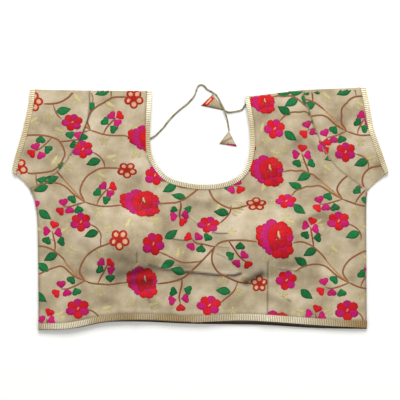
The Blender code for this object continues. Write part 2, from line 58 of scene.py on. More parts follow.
# Sizes of the cut, the same as the solids'
CLOTH = 0.0018
SEAM = 0.0003
LAYER_GAP = 0.0004
BRAID = 0.0009
NECK_BRAID_WIDTH = 0.0066
CUFF_BRAID_WIDTH = 0.0075
HEM_BRAID_WIDTH = 0.0098
PUFF = 0.0022
PUFF_REACH = 0.028
CUP_RISE = 0.023
DOME_POWER = 1.25
PLATEAU_EDGE = (1.05, 1.35)     # where the plateau round a cup starts to fall and ends, in radii
PAD_THICKNESS = 0.0065
PAD_RIM = 0.0014
PAD_CLEARANCE = 3 * SEAM
STRING_DIAMETER = 0.0026
REST = 0.0014
PLACKET_WIDTH = 0.024
PLACKET_THICKNESS = 0.0011
PLACKET_INSET = 0.004
CENTRE_CLEARANCE = 0.0060

# Sizes of what is sewn on
STITCH = 0.0004         # how far a flush stitch lifts the back's cloth off the surface
RELIEF = 0.0009         # height of a padded satin-stitch petal
ZARI_RELIEF = 0.0003    # height of the flat gold stitches
VINE_WIDTH = 0.0025
VINE_RELIEF = 0.0006
VINE_STEP = 0.0016
VINE_ROWS = 4
VINE_SLANT = 0.004      # how far the stitches of a vine lean on their map from edge to edge
STITCH_ROOT = 0.00015   # how far a stitch's wall runs into the cloth
FLUSH_SHARE = 0.20      # height of the underside's stitches as a share of the front's
BED_GAP = 0.0003        # between a braid and the embroidery beside it
PATCH_TONE = 0.07       # how much one motif may be lighter or darker than the next
VINE_TONE = 0.06
TRIM_STEP = 0.006       # the stretches of a bed's outline that motifs are cut along
PIXEL = 0.0015          # metres to one step of the embroidery chart
CHART_ORIGIN = (200.65, 208.2)

LEFT_SHOULDER_END = (-0.1666, 0.1763)
LEFT_NECK_CORNER = (-0.0730, 0.1751)
RIGHT_NECK_CORNER = (0.0658, 0.1664)
RIGHT_SHOULDER_END = (0.1535, 0.1773)
LEFT_UNDERARM = (-0.2560, 0.0290)
RIGHT_UNDERARM = (0.2500, 0.0270)
LEFT_HEM_CORNER = (-0.2428, -0.1823)
RIGHT_HEM_CORNER = (0.2488, -0.1790)
LEFT_ARMHOLE = (
    LEFT_UNDERARM, (-0.2305, 0.0423), (-0.2060, 0.0640), (-0.1855, 0.0956),
    (-0.1705, 0.1300), (-0.1666, 0.1533), LEFT_SHOULDER_END,
)
RIGHT_ARMHOLE = (
    RIGHT_SHOULDER_END, (0.1562, 0.1620), (0.1655, 0.1350), (0.1745, 0.1113),
    (0.1850, 0.0870), (0.2040, 0.0610), (0.2290, 0.0415), RIGHT_UNDERARM,
)
FRONT_NECK = (
    LEFT_NECK_CORNER, (-0.0752, 0.1340), (-0.0757, 0.0980), (-0.0700, 0.0730), (-0.0500, 0.0475),
    (-0.0200, 0.0375), (0.0100, 0.0350), (0.0420, 0.0402), (0.0640, 0.0560), (0.0737, 0.0860),
    (0.0738, 0.1166), (0.0700, 0.1440), RIGHT_NECK_CORNER,
)
BACK_NECK = (
    (-0.0768, 0.1751), (-0.0830, 0.1400), (-0.0862, 0.0980), (-0.0800, 0.0560), (-0.0560, 0.0190),
    (-0.0200, 0.0030), (0.0200, 0.0030), (0.0560, 0.0190), (0.0795, 0.0560), (0.0855, 0.0980),
    (0.0800, 0.1400), (0.0705, 0.1668),
)
LEFT_SIDE = (LEFT_UNDERARM, (-0.2490, 0.0130), (-0.2447, -0.0192), (-0.2432, -0.0987), LEFT_HEM_CORNER)
RIGHT_SIDE = (RIGHT_UNDERARM, (0.2482, 0.0080), (0.2480, -0.0500), RIGHT_HEM_CORNER)
FRONT_HEM = (
    LEFT_HEM_CORNER, (-0.2050, -0.1815), (-0.1810, -0.1780), (-0.1405, -0.1700), (-0.0865, -0.1674),
    (-0.0160, -0.1705), (0.0530, -0.1677), (0.0980, -0.1690), (0.1730, -0.1746), RIGHT_HEM_CORNER,
)
BACK_HEM = (
    LEFT_HEM_CORNER, (-0.2050, -0.1815), (-0.1800, -0.1785), (-0.1405, -0.1708), (-0.0865, -0.1700),
    (-0.0160, -0.1730), (0.0530, -0.1740), (0.0980, -0.1750), (0.1730, -0.1795), (0.2488, -0.1808),
)
LEFT_CUFF = (
    (-0.2554, 0.1781), (-0.2575, 0.1560), (-0.2662, 0.1158), (-0.2768, 0.0800), (-0.2817, 0.0600),
    (-0.2800, 0.0525),
)
RIGHT_CUFF = (
    (0.2468, 0.1812), (0.2510, 0.1620), (0.2585, 0.1203), (0.2680, 0.0920), (0.2788, 0.0620),
    (0.2809, 0.0543),
)
LEFT_UNDERSLEEVE = ((-0.2800, 0.0525), (-0.2690, 0.0445), (-0.2560, 0.0290))
RIGHT_UNDERSLEEVE = ((0.2809, 0.0543), (0.2620, 0.0385), (0.2500, 0.0270))

# Large folds of the upper layer: start x, start y, end x, end y, half width, height
FOLDS = (
    (-0.045, -0.078, 0.048, -0.082, 0.0150, 0.0048),
    (-0.038, -0.048, 0.030, -0.042, 0.0140, 0.0030),
    (0.016, -0.036, 0.044, -0.040, 0.0080, 0.0016),
    (0.150, -0.018, 0.190, -0.002, 0.0090, 0.0026),
    (0.150, -0.042, 0.205, -0.030, 0.0100, 0.0022),
    (-0.150, -0.010, -0.200, 0.020, 0.0110, 0.0026),
    (-0.168, -0.048, -0.222, -0.040, 0.0110, 0.0018),
    (-0.085, 0.012, -0.098, 0.060, 0.0120, 0.0018),
    (0.090, 0.012, 0.108, 0.062, 0.0120, 0.0018),
    (-0.076, -0.132, -0.048, -0.149, 0.0090, 0.0022),
    (0.098, -0.124, 0.130, -0.139, 0.0090, 0.0024),
    (-0.200, -0.112, -0.165, -0.140, 0.0120, 0.0018),
    (0.190, -0.100, 0.225, -0.140, 0.0120, 0.0018),
    (-0.010, -0.112, 0.020, -0.150, 0.0120, 0.0016),
    (-0.235, 0.075, -0.262, 0.092, 0.0110, 0.0020),
    (0.205, 0.085, 0.250, 0.110, 0.0120, 0.0022),
    (-0.205, 0.120, -0.238, 0.150, 0.0110, 0.0016),
    (0.180, 0.130, 0.222, 0.152, 0.0110, 0.0016),
)

# Sharp creases of the front, each steep on the side to its right: half width, height, then chart x, y
CREASES = (
    (0.0075, 0.0046, (149, 264), (161, 268), (171.4, 269.3), (189.3, 271.8), (214.8, 274.4), (234, 275),
     (240.3, 273.1), (247, 270)),
    (0.004, 0.0022, (211, 232), (219, 233), (228, 233)),
    (0.004, 0.0016, (187.5, 215.5), (193, 220), (198.5, 225)),
    (0.004, 0.0018, (172, 238.5), (180, 239.4), (188, 240)),
    (0.004, 0.0014, (214, 245.5), (222, 246.5), (231, 247)),
    (0.0045, 0.0017, (214, 251.5), (227.5, 257.8), (236, 264)),
    (0.006, 0.002, (276, 267.5), (289, 269.5), (302, 271)),
    (0.0055, 0.0018, (322, 212), (311, 216), (300, 221)),
    (0.005, 0.0015, (310, 230), (301, 234), (292, 238)),
    (0.0045, 0.0012, (331, 229), (325, 232), (318, 236)),
    (0.006, 0.0018, (81, 203), (89, 211), (98, 220)),
    (0.0055, 0.0018, (149, 296), (158, 302), (168, 308)),
    (0.006, 0.0022, (266, 290), (276, 295), (289, 301)),
    (0.005, 0.0014, (60, 222), (70, 226), (82, 227)), (0.0055, 0.0015, (50, 196), (58, 203), (64, 213)),
    (0.0055, 0.0014, (345, 205), (336, 213), (331, 222)),
    (0.005, 0.0013, (100, 291), (110, 297), (123, 300)),
    (0.0055, 0.0015, (318, 290), (329, 297), (343, 300)),
    (0.005, 0.0012, (204, 282), (214, 290), (219, 301)),
)

# Shadows that folds and seams throw, painted into the colour as dark lines and soft patches: reach,
# strength, then chart points
PAINTED_SHADOW_LINES = (
    (0.0018, 1.0, (90, 104), (91.2, 110.6), (86.7, 123.4), (82.9, 133.6), (77.8, 145), (73.3, 152)),
    (0.0028, 1.0, (186, 271.5), (200, 273), (214.8, 274.6), (234, 275.2), (240.3, 273.4)),
    (0.0028, 0.8, (149, 264.5), (161, 268.5), (171.4, 269.8), (186, 271.5)),
    (0.0014, 0.8, (212, 232.4), (219, 233.3), (227, 233.2)),
    (0.0014, 0.8, (173, 238.9), (180, 239.8), (187, 240.4)),
    (0.001, 0.4, (216, 246), (222, 246.9), (229, 247.4)),
    (0.0012, 0.45, (216, 253), (225, 257), (233, 262.5)),
    (0.006, 0.85, (246, 281), (253, 278), (261, 273.5)),
    (0.0055, 0.25, (170, 262), (180, 266), (190, 268)),
    (0.0014, 0.4, (278, 268.6), (288, 270), (299, 271)),
    (0.0016, 0.65, (280, 294), (285, 297.5), (290, 301)),
    (0.0012, 0.4, (189.3, 217), (193, 220), (197, 223.6)),
    (0.0085, 0.62, (118, 275), (130, 274), (142, 270), (154, 268)),
    (0.008, 0.6, (132, 281), (141, 282), (150, 281)), (0.007, 0.35, (88, 271), (100, 272), (112, 273)),
    (0.006, 0.22, (110, 254), (122, 258), (132, 262)), (0.006, 0.25, (278, 262), (290, 264), (300, 262)),
    (0.006, 0.18, (70, 225), (76, 236), (84, 244)), (0.007, 0.2, (286, 152), (292, 148), (300, 140)),
    (0.006, 0.2, (326, 96), (330, 108), (331, 120)), (0.006, 0.2, (320, 214), (308, 217), (298, 222)),
    (0.006, 0.18, (186, 200), (197, 203), (210, 207)),
    (0.0018, 0.35, (149, 300), (151.5, 304.5), (152, 309)),
)

# Where the hem's braid turns a browner gold: chart x, then how far it does
HEM_BROWNING = (
    (36, 0.9), (44, 0.4), (60, 0.0), (84, 0.1), (96, 0.5), (170, 0.55), (224, 0.45), (238, 0.15),
    (270, 0.0), (300, 0.05), (316, 0.35), (340, 0.6), (368, 0.95),
)

# Below the first chart y only large flowers are cut off by the hem, and below the second no leaf is set
HEM_ZONE = 300
LOWEST_LEAF = 310

# Left of this x a painted shadow darkens the outer edge of the hem's braid, where it rolls under
HEM_ROLL_END = -0.012

# A dark line that reaches further than this is a soft shadow, which falls on the floss as well
BROAD_REACH = 0.0040

# Shade painted into the colour beside seams, braid edges and darts, and a painted shadow on the back's
# inside along its hem, under the front: reach and strength
ARMHOLE_SHADE = {"left": (0.0013, 0.55), "right": (0.0013, 0.25)}
SIDE_SHADE = (0.0030, 0.45)
NECK_SHADE = (0.0022, 0.4)
HEM_SHADE = (0.0026, 0.4)
BACK_HEM_SHADE = (0.0060, 1.3)
HEM_ROLL_SHADE = (0.0012, 0.9)
DART_SHADE = (0.0011, 0.5)
SLEEVE_SHADE = (0.0014, 0.45)
CUFF_SHADE = (0.0024, 0.25)

# Darts under the cups: top and foot of the sewn line in the chart, and the depth of its valley
DARTS = (
    ((267.4, 250.0), (267.2, 318.0), 0.0018),
    ((137.5, 252.0), (136.2, 318.0), 0.0010),
)


def catmull_rom(points: Sequence[Sequence[float]], steps: int = 12) -> Points:
    """Runs a smooth curve through points, open at both ends.

    Args:
        points: The points that it runs through.
        steps: Points to each stretch.

    Returns:
        The curve's points.
    """
    knots = np.array(points, float)
    knots = np.vstack([2 * knots[0] - knots[1], knots, 2 * knots[-1] - knots[-2]])
    before, start, end, after = knots[:-3, None], knots[1:-2, None], knots[2:-1, None], knots[3:, None]
    t = (np.arange(steps) / steps)[None, :, None]
    curve = 0.5 * (
        2 * start + (end - before) * t
        + (2 * before - 5 * start + 4 * end - after) * t ** 2
        + (3 * start - before - 3 * end + after) * t ** 3
    )
    return np.vstack([curve.reshape(-1, knots.shape[1]), knots[-2]])


def run_of(curve: Points) -> Points:
    """Gives the distance along a polyline at each of its points."""
    return np.concatenate([[0], np.cumsum(np.linalg.norm(np.diff(curve, axis=0), axis=1))])


def even_points(curve: Points, count: int) -> Points:
    """Gives that many evenly spaced points along a polyline."""
    run = run_of(curve)
    places = np.linspace(0, run[-1], count)
    return np.column_stack([np.interp(places, run, axis) for axis in curve.T])


def stretch(points: Sequence[Sequence[float]], step: float) -> Points:
    """Makes one stretch of the outline, smooth and divided about every step metres."""
    curve = catmull_rom(points)
    return even_points(curve, max(2, round(run_of(curve)[-1] / step) + 1))


# Points measured at once, which keeps the arrays small
CHUNK = 4000


def nearest(xy: Points, line: Points) -> tuple[Points, Points, Points]:
    """Measures points against a polyline.

    Args:
        xy: The points.
        line: The polyline.

    Returns:
        Each point's distance, the share of the line's length at its nearest place, and 1 for the line's
        left side or -1 for its right.
    """
    start, run = line[:-1], np.diff(line, axis=0)
    squared = (run ** 2).sum(axis=1)
    length = np.concatenate([[0], np.cumsum(np.sqrt(squared))])
    distance, share, side = (np.empty(len(xy)) for _ in range(3))
    for low in range(0, len(xy), CHUNK):
        chunk = xy[low:low + CHUNK, None, :]
        along = np.clip(((chunk - start) * run).sum(axis=2) / squared, 0, 1)
        away = chunk - (start + run * along[..., None])
        gap = np.hypot(away[..., 0], away[..., 1])
        best = gap.argmin(axis=1)
        row = np.arange(len(best))
        place = slice(low, low + len(best))
        distance[place] = gap[row, best]
        share[place] = (length[best] + along[row, best] * np.sqrt(squared[best])) / length[-1]
        cross = run[best, 0] * away[row, best, 1] - run[best, 1] * away[row, best, 0]
        side[place] = np.where(cross >= 0, 1.0, -1.0)
    return distance, share, side


def distance_to(xy: Points, line: Points) -> Points:
    """Gives each point's distance from a polyline."""
    return nearest(xy, line)[0]


def smooth_step(low: float, high: float, value: Points) -> Points:
    """Gives 0 below low, 1 above high, and a smooth rise between."""
    t = np.clip((value - low) / (high - low), 0, 1)
    return t * t * (3 - 2 * t)


def left_of(line: Points) -> Points:
    """Gives the unit vector to the left of a line at each of its points."""
    run = np.gradient(line, axis=0)
    run /= np.linalg.norm(run, axis=1)[:, None]
    return np.column_stack([-run[:, 1], run[:, 0]])


def inward(line: Points, width: float, keep_left: bool) -> Points:
    """Moves a line sideways by width, to its left if keep_left."""
    return line + left_of(line) * (width if keep_left else -width)


def turned(xy: Points, angle_deg: float) -> Points:
    """Turns points in plan about the origin, anticlockwise."""
    x, y = xy[:, 0], xy[:, 1]
    cos, sin = math.cos(math.radians(angle_deg)), math.sin(math.radians(angle_deg))
    return np.column_stack([x * cos - y * sin, x * sin + y * cos])


def spoke(angle_deg: float, away: float) -> tuple[float, float]:
    """Gives the place that lies away from the origin of the chart, whose y runs down, in a direction."""
    return away * math.cos(math.radians(angle_deg)), -away * math.sin(math.radians(angle_deg))


def from_chart(points: Sequence[Sequence[float]]) -> Points:
    """Turns places in the embroidery chart, x to the right and y down, into metres in plan."""
    chart = np.array(points, float).reshape(-1, 2) - CHART_ORIGIN
    return chart * (PIXEL, -PIXEL)


def inside(xy: Points, outline: Points) -> Points:
    """Tells which points lie inside a closed outline."""
    x, y = xy[:, 0], xy[:, 1]
    result = np.zeros(len(xy), bool)
    for (x0, y0), (x1, y1) in zip(outline, np.roll(outline, -1, axis=0)):
        if y0 != y1:
            result ^= ((y0 > y) != (y1 > y)) & (x < (x1 - x0) * (y - y0) / (y1 - y0) + x0)
    return result


EDGES = {
    "left_armhole": stretch(LEFT_ARMHOLE, 0.0030),
    "right_armhole": stretch(RIGHT_ARMHOLE, 0.0030),
    "front_neck": stretch(FRONT_NECK, 0.0030),
    "back_neck": stretch(BACK_NECK, 0.0040),
    "left_side": stretch(LEFT_SIDE, 0.0050),
    "right_side": stretch(RIGHT_SIDE, 0.0050),
    "front_hem": stretch(FRONT_HEM, 0.0040),
    "back_hem": stretch(BACK_HEM, 0.0050),
    "left_cuff": stretch(LEFT_CUFF, 0.0030),
    "right_cuff": stretch(RIGHT_CUFF, 0.0030),
}
CLOSED_EDGES = (
    EDGES["left_side"],
    EDGES["right_side"],
    np.array([LEFT_CUFF[0], LEFT_SHOULDER_END, LEFT_NECK_CORNER]),
    np.array([RIGHT_NECK_CORNER, RIGHT_SHOULDER_END, RIGHT_CUFF[0]]),
    np.array(LEFT_UNDERSLEEVE),
    np.array(RIGHT_UNDERSLEEVE),
)
BRAIDED_EDGES = (
    (EDGES["back_hem"], HEM_BRAID_WIDTH),
    (EDGES["back_neck"], NECK_BRAID_WIDTH),
    (EDGES["left_cuff"], CUFF_BRAID_WIDTH),
    (EDGES["right_cuff"], CUFF_BRAID_WIDTH),
)


@dataclass(frozen=True)
class Cup:
    """One moulded cup: the dome's centre and its half sizes."""

    x: float
    y: float
    half_width: float
    half_up: float
    half_down: float

    def radius(self, xy: Points) -> Points:
        """Gives 0 at the dome's centre and 1 on the pad's rim."""
        up = xy[:, 1] > self.y
        across = (xy[:, 0] - self.x) / self.half_width
        along = (xy[:, 1] - self.y) / np.where(up, self.half_up, self.half_down)
        return np.hypot(across, along)

    def rise(self, xy: Points) -> Points:
        """Gives the height that the cup adds: a low plateau for the pad's rim, and the dome on it."""
        radius = self.radius(xy)
        plateau = (PAD_RIM + 2 * SEAM) * (1 - smooth_step(*PLATEAU_EDGE, radius))
        return plateau + CUP_RISE * np.maximum(0, 1 - radius ** 2) ** DOME_POWER


CUPS = {
    "left": Cup(x=-0.1100, y=-0.0500, half_width=0.0640, half_up=0.0600, half_down=0.0500),
    "right": Cup(x=0.0970, y=-0.0530, half_width=0.0620, half_up=0.0600, half_down=0.0520),
}


@dataclass(frozen=True)
class Drape:
    """The heights that the two layers of cloth lie at."""

    seam_dip: float = 0.0004        # depth of the dip along an armhole's seam
    seam_reach: float = 0.0022
    ripple: float = 0.00045         # height of the cloth's slight unevenness
    braid_lift: tuple[float, float] = (0.004, 0.012)    # past a braid, where its lift fades and ends
    crease_ends: float = 0.3        # share of a crease over which each end dies out
    steep_side: float = 0.38        # reach on a crease's two sides, as shares of its half width
    soft_side: float = 1.5
    dart_ends: float = 0.35         # share of a dart over which its top dies out
    dart_span: float = 0.02
    dart_swell: float = 0.009       # reach of the swell that a dart's valley lies in
    dart_valley: float = 0.0016

    def lower(self, xy: Points) -> Points:
        """Gives the underside of the lower layer, lifted where braid lies under it."""
        lift = np.zeros(len(xy))
        for line, width in BRAIDED_EDGES:
            fade = smooth_step(*(width + past for past in self.braid_lift), distance_to(xy, line))
            lift = np.maximum(lift, (BRAID + SEAM) * (1 - fade))
        return lift

    def folds(self, xy: Points) -> Points:
        """Gives the height of the large soft folds."""
        total = np.zeros(len(xy))
        for x0, y0, x1, y1, half_width, height in FOLDS:
            away = distance_to(xy, np.array([(x0, y0), (x1, y1)]))
            total += height * np.exp(-((away / half_width) ** 2))
        return total

    def creases(self, xy: Points) -> Points:
        """Gives the sharp creases, soft on one side, steep on the other and dying out at both ends."""
        total = np.zeros(len(xy))
        for half_width, height, *line in CREASES:
            away, share, side = nearest(xy, catmull_rom(from_chart(line), 6))
            fade = smooth_step(0, self.crease_ends, share) * smooth_step(0, self.crease_ends, 1 - share)
            reach = half_width * np.where(side > 0, self.steep_side, self.soft_side)
            total += height * fade * np.exp(-((away / reach) ** 2))
        for top, foot, depth in DARTS:
            away, share, _ = nearest(xy, from_chart([top, foot]))
            fade = smooth_step(0, self.dart_ends, share) * (away < self.dart_span)
            swell = 0.8 * np.exp(-((away / self.dart_swell) ** 2))
            total += depth * fade * (swell - np.exp(-((away / self.dart_valley) ** 2)))
        return total

    def ripples(self, xy: Points) -> Points:
        """Gives the slight unevenness of cloth that lies loose, from a few crossing waves."""
        x, y = xy[:, 0], xy[:, 1]
        wave = np.sin(61 * x + 37 * y + 1.3) + np.sin(-43 * x + 71 * y + 0.4) * 0.8
        wave += np.sin(131 * x - 58 * y + 2.1 + 2 * np.sin(23 * y)) * 0.45
        return self.ripple * wave

    def upper(self, xy: Points) -> Points:
        """Gives the underside of the upper layer: puff, folds, domes, creases, and a dip at the armholes."""
        closed = np.min([distance_to(xy, line) for line in CLOSED_EDGES], axis=0)
        loose = 1 - np.exp(-closed / PUFF_REACH)
        base = self.lower(xy) + CLOTH + LAYER_GAP
        domes = sum(cup.rise(xy) for cup in CUPS.values())
        height = base + (PUFF + self.folds(xy)) * loose + domes
        height += (self.creases(xy) + self.ripples(xy) + self.ripple) * loose
        seams = np.minimum(distance_to(xy, EDGES["left_armhole"]), distance_to(xy, EDGES["right_armhole"]))
        return height - self.seam_dip * np.exp(-((seams / self.seam_reach) ** 2)) * np.minimum(1, loose * 3)


@dataclass(frozen=True)
class Field:
    """The two layers' heights worked out once on a square grid, so that all that lies on them agrees."""

    drape: Drape
    cell: float = 0.0025
    half_size: tuple[float, float] = (0.2950, 0.2000)

    def __post_init__(self) -> None:
        """Works out the grids."""
        columns, rows = (round(size / self.cell) for size in self.half_size)
        x = np.arange(-columns, columns + 1) * self.cell
        y = np.arange(-rows, rows + 1) * self.cell
        nodes = np.column_stack([grid.ravel() for grid in np.meshgrid(x, y)])
        shape = (len(y), len(x))
        object.__setattr__(self, "upper_grid", self.drape.upper(nodes).reshape(shape))
        object.__setattr__(self, "lower_grid", self.drape.lower(nodes).reshape(shape))

    def sample(self, grid: Points, xy: Points) -> Points:
        """Reads a grid at any places, straight between its nodes."""
        u = xy[:, 0] / self.cell + round(self.half_size[0] / self.cell)
        v = xy[:, 1] / self.cell + round(self.half_size[1] / self.cell)
        i = np.clip(np.floor(u + 1e-6).astype(int), 0, grid.shape[1] - 2)
        j = np.clip(np.floor(v + 1e-6).astype(int), 0, grid.shape[0] - 2)
        s, t = u - i, v - j
        low = grid[j, i] * (1 - s) + grid[j, i + 1] * s
        return low * (1 - t) + (grid[j + 1, i] * (1 - s) + grid[j + 1, i + 1] * s) * t

    def lower(self, xy: Points) -> Points:
        """Gives the underside of the lower layer."""
        return self.sample(self.lower_grid, xy)

    def upper(self, xy: Points) -> Points:
        """Gives the underside of the upper layer."""
        return self.sample(self.upper_grid, xy)

    def face(self, xy: Points) -> Points:
        """Gives the outer face of the upper layer."""
        return self.upper(xy) + CLOTH

    def floor_face(self, xy: Points) -> Points:
        """Gives the outer face of the lower layer, a stitch's height off the surface."""
        return self.lower(xy) + STITCH


DRAPE = Field(Drape())


# Distance between the bands of a wave texture at scale 1
BAND_PITCH = math.pi / 10


def linear(code: str) -> tuple[float, float, float, float]:
    """Turns an sRGB hex colour into linear values with alpha 1."""
    values = [int(code[place:place + 2], 16) / 255 for place in (1, 3, 5)]
    red, green, blue = (v / 12.92 if v <= 0.04045 else ((v + 0.055) / 1.055) ** 2.4 for v in values)
    return red, green, blue, 1.0


def add_node(tree: Tree, kind: str, values: dict | None = None, links: dict | None = None,
             **settings: object) -> bpy.types.Node:
    """Adds one node to a material.

    Args:
        tree: The material's nodes.
        kind: The node's type name.
        values: Input names or numbers with the values that they hold.
        links: Input names or numbers with the sockets that feed them.
        settings: Properties of the node itself.

    Returns:
        The node.
    """
    node = tree.nodes.new(kind)
    for name, value in settings.items():
        setattr(node, name, value)
    for name, value in (values or {}).items():
        node.inputs[name].default_value = value
    for name, socket in (links or {}).items():
        tree.links.new(socket, node.inputs[name])
    return node


def ramp(tree: Tree, factor: Socket, *stops: tuple[float, str]) -> Socket:
    """Adds a colour ramp whose stops are places with sRGB hex colours."""
    node = add_node(tree, "ShaderNodeValToRGB", links={0: factor})
    band = node.color_ramp
    while len(band.elements) < len(stops):
        band.elements.new(0.5)
    for element, (place, code) in zip(band.elements, stops):
        element.position = place
        element.color = linear(code)
    return node.outputs[0]


def attribute(tree: Tree, name: str) -> Socket:
    """Reads a value that the mesh carries."""
    return add_node(tree, "ShaderNodeAttribute", attribute_name=name).outputs["Fac"]


def object_map(tree: Tree) -> Socket:
    """Reads the piece's own coordinates, in metres."""
    return add_node(tree, "ShaderNodeTexCoord").outputs["Object"]


def stitch_map(tree: Tree) -> Socket:
    """Reads the map that the stitches and the braid's bars follow, in metres."""
    return add_node(tree, "ShaderNodeUVMap", uv_map="stitch").outputs["UV"]


def stretched(tree: Tree, coords: Socket, *scale: float) -> Socket:
    """Scales a map axis by axis, so that noise on it turns into streaks."""
    return add_node(tree, "ShaderNodeMapping", {"Scale": scale}, {"Vector": coords}).outputs[0]


def noise(tree: Tree, coords: Socket, scale: float, detail: float, roughness: float = 0.5) -> Socket:
    """Adds soft noise and gives its value."""
    values = {"Scale": scale, "Detail": detail, "Roughness": roughness}
    return add_node(tree, "ShaderNodeTexNoise", values, {"Vector": coords}).outputs["Fac"]


def bands(tree: Tree, coords: Socket, pitch_mm: float, distortion: float, detail: float,
          detail_scale: float = 1.0, axis: str = "X") -> Socket:
    """Adds bands that lie pitch_mm apart on a map in metres and gives their value."""
    values = {"Scale": BAND_PITCH / (pitch_mm / 1000), "Distortion": distortion, "Detail": detail,
              "Detail Scale": detail_scale}
    return add_node(tree, "ShaderNodeTexWave", values, {"Vector": coords}, wave_type="BANDS",
                    bands_direction=axis).outputs["Fac"]


def blended(tree: Tree, share: float, first: Socket, second: Socket) -> Socket:
    """Mixes two values, with that share of the second."""
    return add_node(tree, "ShaderNodeMix", {0: share}, {2: first, 3: second}, data_type="FLOAT").outputs[0]


def added(tree: Tree, first: Socket, second: Socket) -> Socket:
    """Adds two values."""
    return add_node(tree, "ShaderNodeMath", links={0: first, 1: second}, operation="ADD").outputs[0]


def multiplied(tree: Tree, colour: Socket, code: str, share: Socket) -> Socket:
    """Multiplies a colour by an sRGB hex colour as far as share says."""
    return add_node(tree, "ShaderNodeMix", {7: linear(code)}, {0: share, 6: colour}, data_type="RGBA",
                    blend_type="MULTIPLY").outputs[2]


def new_material(name: str, roughness: float, sheen: float = 0.0, metallic: float = 0.0,
                 specular: float = 0.5) -> tuple[bpy.types.Material, bpy.types.Node]:
    """Starts a material.

    Args:
        name: The material's name.
        roughness: The shader's roughness.
        sheen: Weight of the fuzz that cloth shows at grazing angles.
        metallic: How far it is a metal.
        specular: Strength of the reflection of a thing that isn't a metal.

    Returns:
        The material and its shader node.
    """
    material = bpy.data.materials.new(name)
    material.use_nodes = True
    shader = material.node_tree.nodes["Principled BSDF"]
    values = {"Roughness": roughness, "Sheen Weight": sheen, "Sheen Roughness": 0.5, "Metallic": metallic,
              "Specular IOR Level": specular}
    for key, value in values.items():
        shader.inputs[key].default_value = value
    return material, shader


def bump_into(tree: Tree, shader: bpy.types.Node, height: Socket, strength: float,
              distance: float) -> None:
    """Feeds a height through a bump node into the shader's normal."""
    values = {"Strength": strength, "Distance": distance}
    bump = add_node(tree, "ShaderNodeBump", values, {"Height": height})
    tree.links.new(bump.outputs["Normal"], shader.inputs["Normal"])


def weave_height(tree: Tree, coords: Socket, pitch_mm: float) -> Socket:
    """Adds the height of a plain weave whose threads lie pitch_mm apart."""
    return added(tree, *(bands(tree, coords, pitch_mm, 1.2, 1.0, 2.0, axis) for axis in ("X", "Y")))


@dataclass(frozen=True)
class ArtSilk:
    """Beige art silk, woven with slubs: soft mottled colour, partly the silk's own uneven tone and partly
    painted soft shade of small wrinkles, darkened further by painted shade along creases and seams, and a
    low sheen over a fine weave.
    """

    name: str = "beige_art_silk"
    dark: str = "#867359"
    middle: str = "#AF9F80"
    light: str = "#CFBFA6"
    painted_shade_colour: str = "#4A3826"
    roughness: float = 0.52
    weave_mm: float = 0.9
    streak_share: float = 0.14

    def material(self) -> bpy.types.Material:
        """Makes the material; the real threads lie 0.25 mm apart, drawn coarser so that they show."""
        material, shader = new_material(self.name, self.roughness, sheen=0.12, specular=0.3)
        tree = material.node_tree
        coords = object_map(tree)
        # Large mottle: partly the silk's uneven tone, partly painted soft shade of small wrinkles
        blotch = noise(tree, coords, scale=26.0, detail=5.0, roughness=0.58)
        slub = stretched(tree, coords, 260.0, 900.0, 260.0)
        streak = noise(tree, slub, scale=1.0, detail=3.0, roughness=0.6)
        mixed = blended(tree, self.streak_share, blotch, streak)
        colour = ramp(tree, mixed, (0.28, self.dark), (0.48, self.middle), (0.70, self.light))
        # Painted shade: the colour darkens towards deep brown along creases, seams and hems, as the shade
        # attribute says
        darker = multiplied(tree, colour, self.painted_shade_colour, attribute(tree, "shade"))
        tree.links.new(darker, shader.inputs["Base Color"])
        height = added(tree, streak, weave_height(tree, coords, self.weave_mm))
        bump_into(tree, shader, height, strength=0.35, distance=0.00025)
        return material


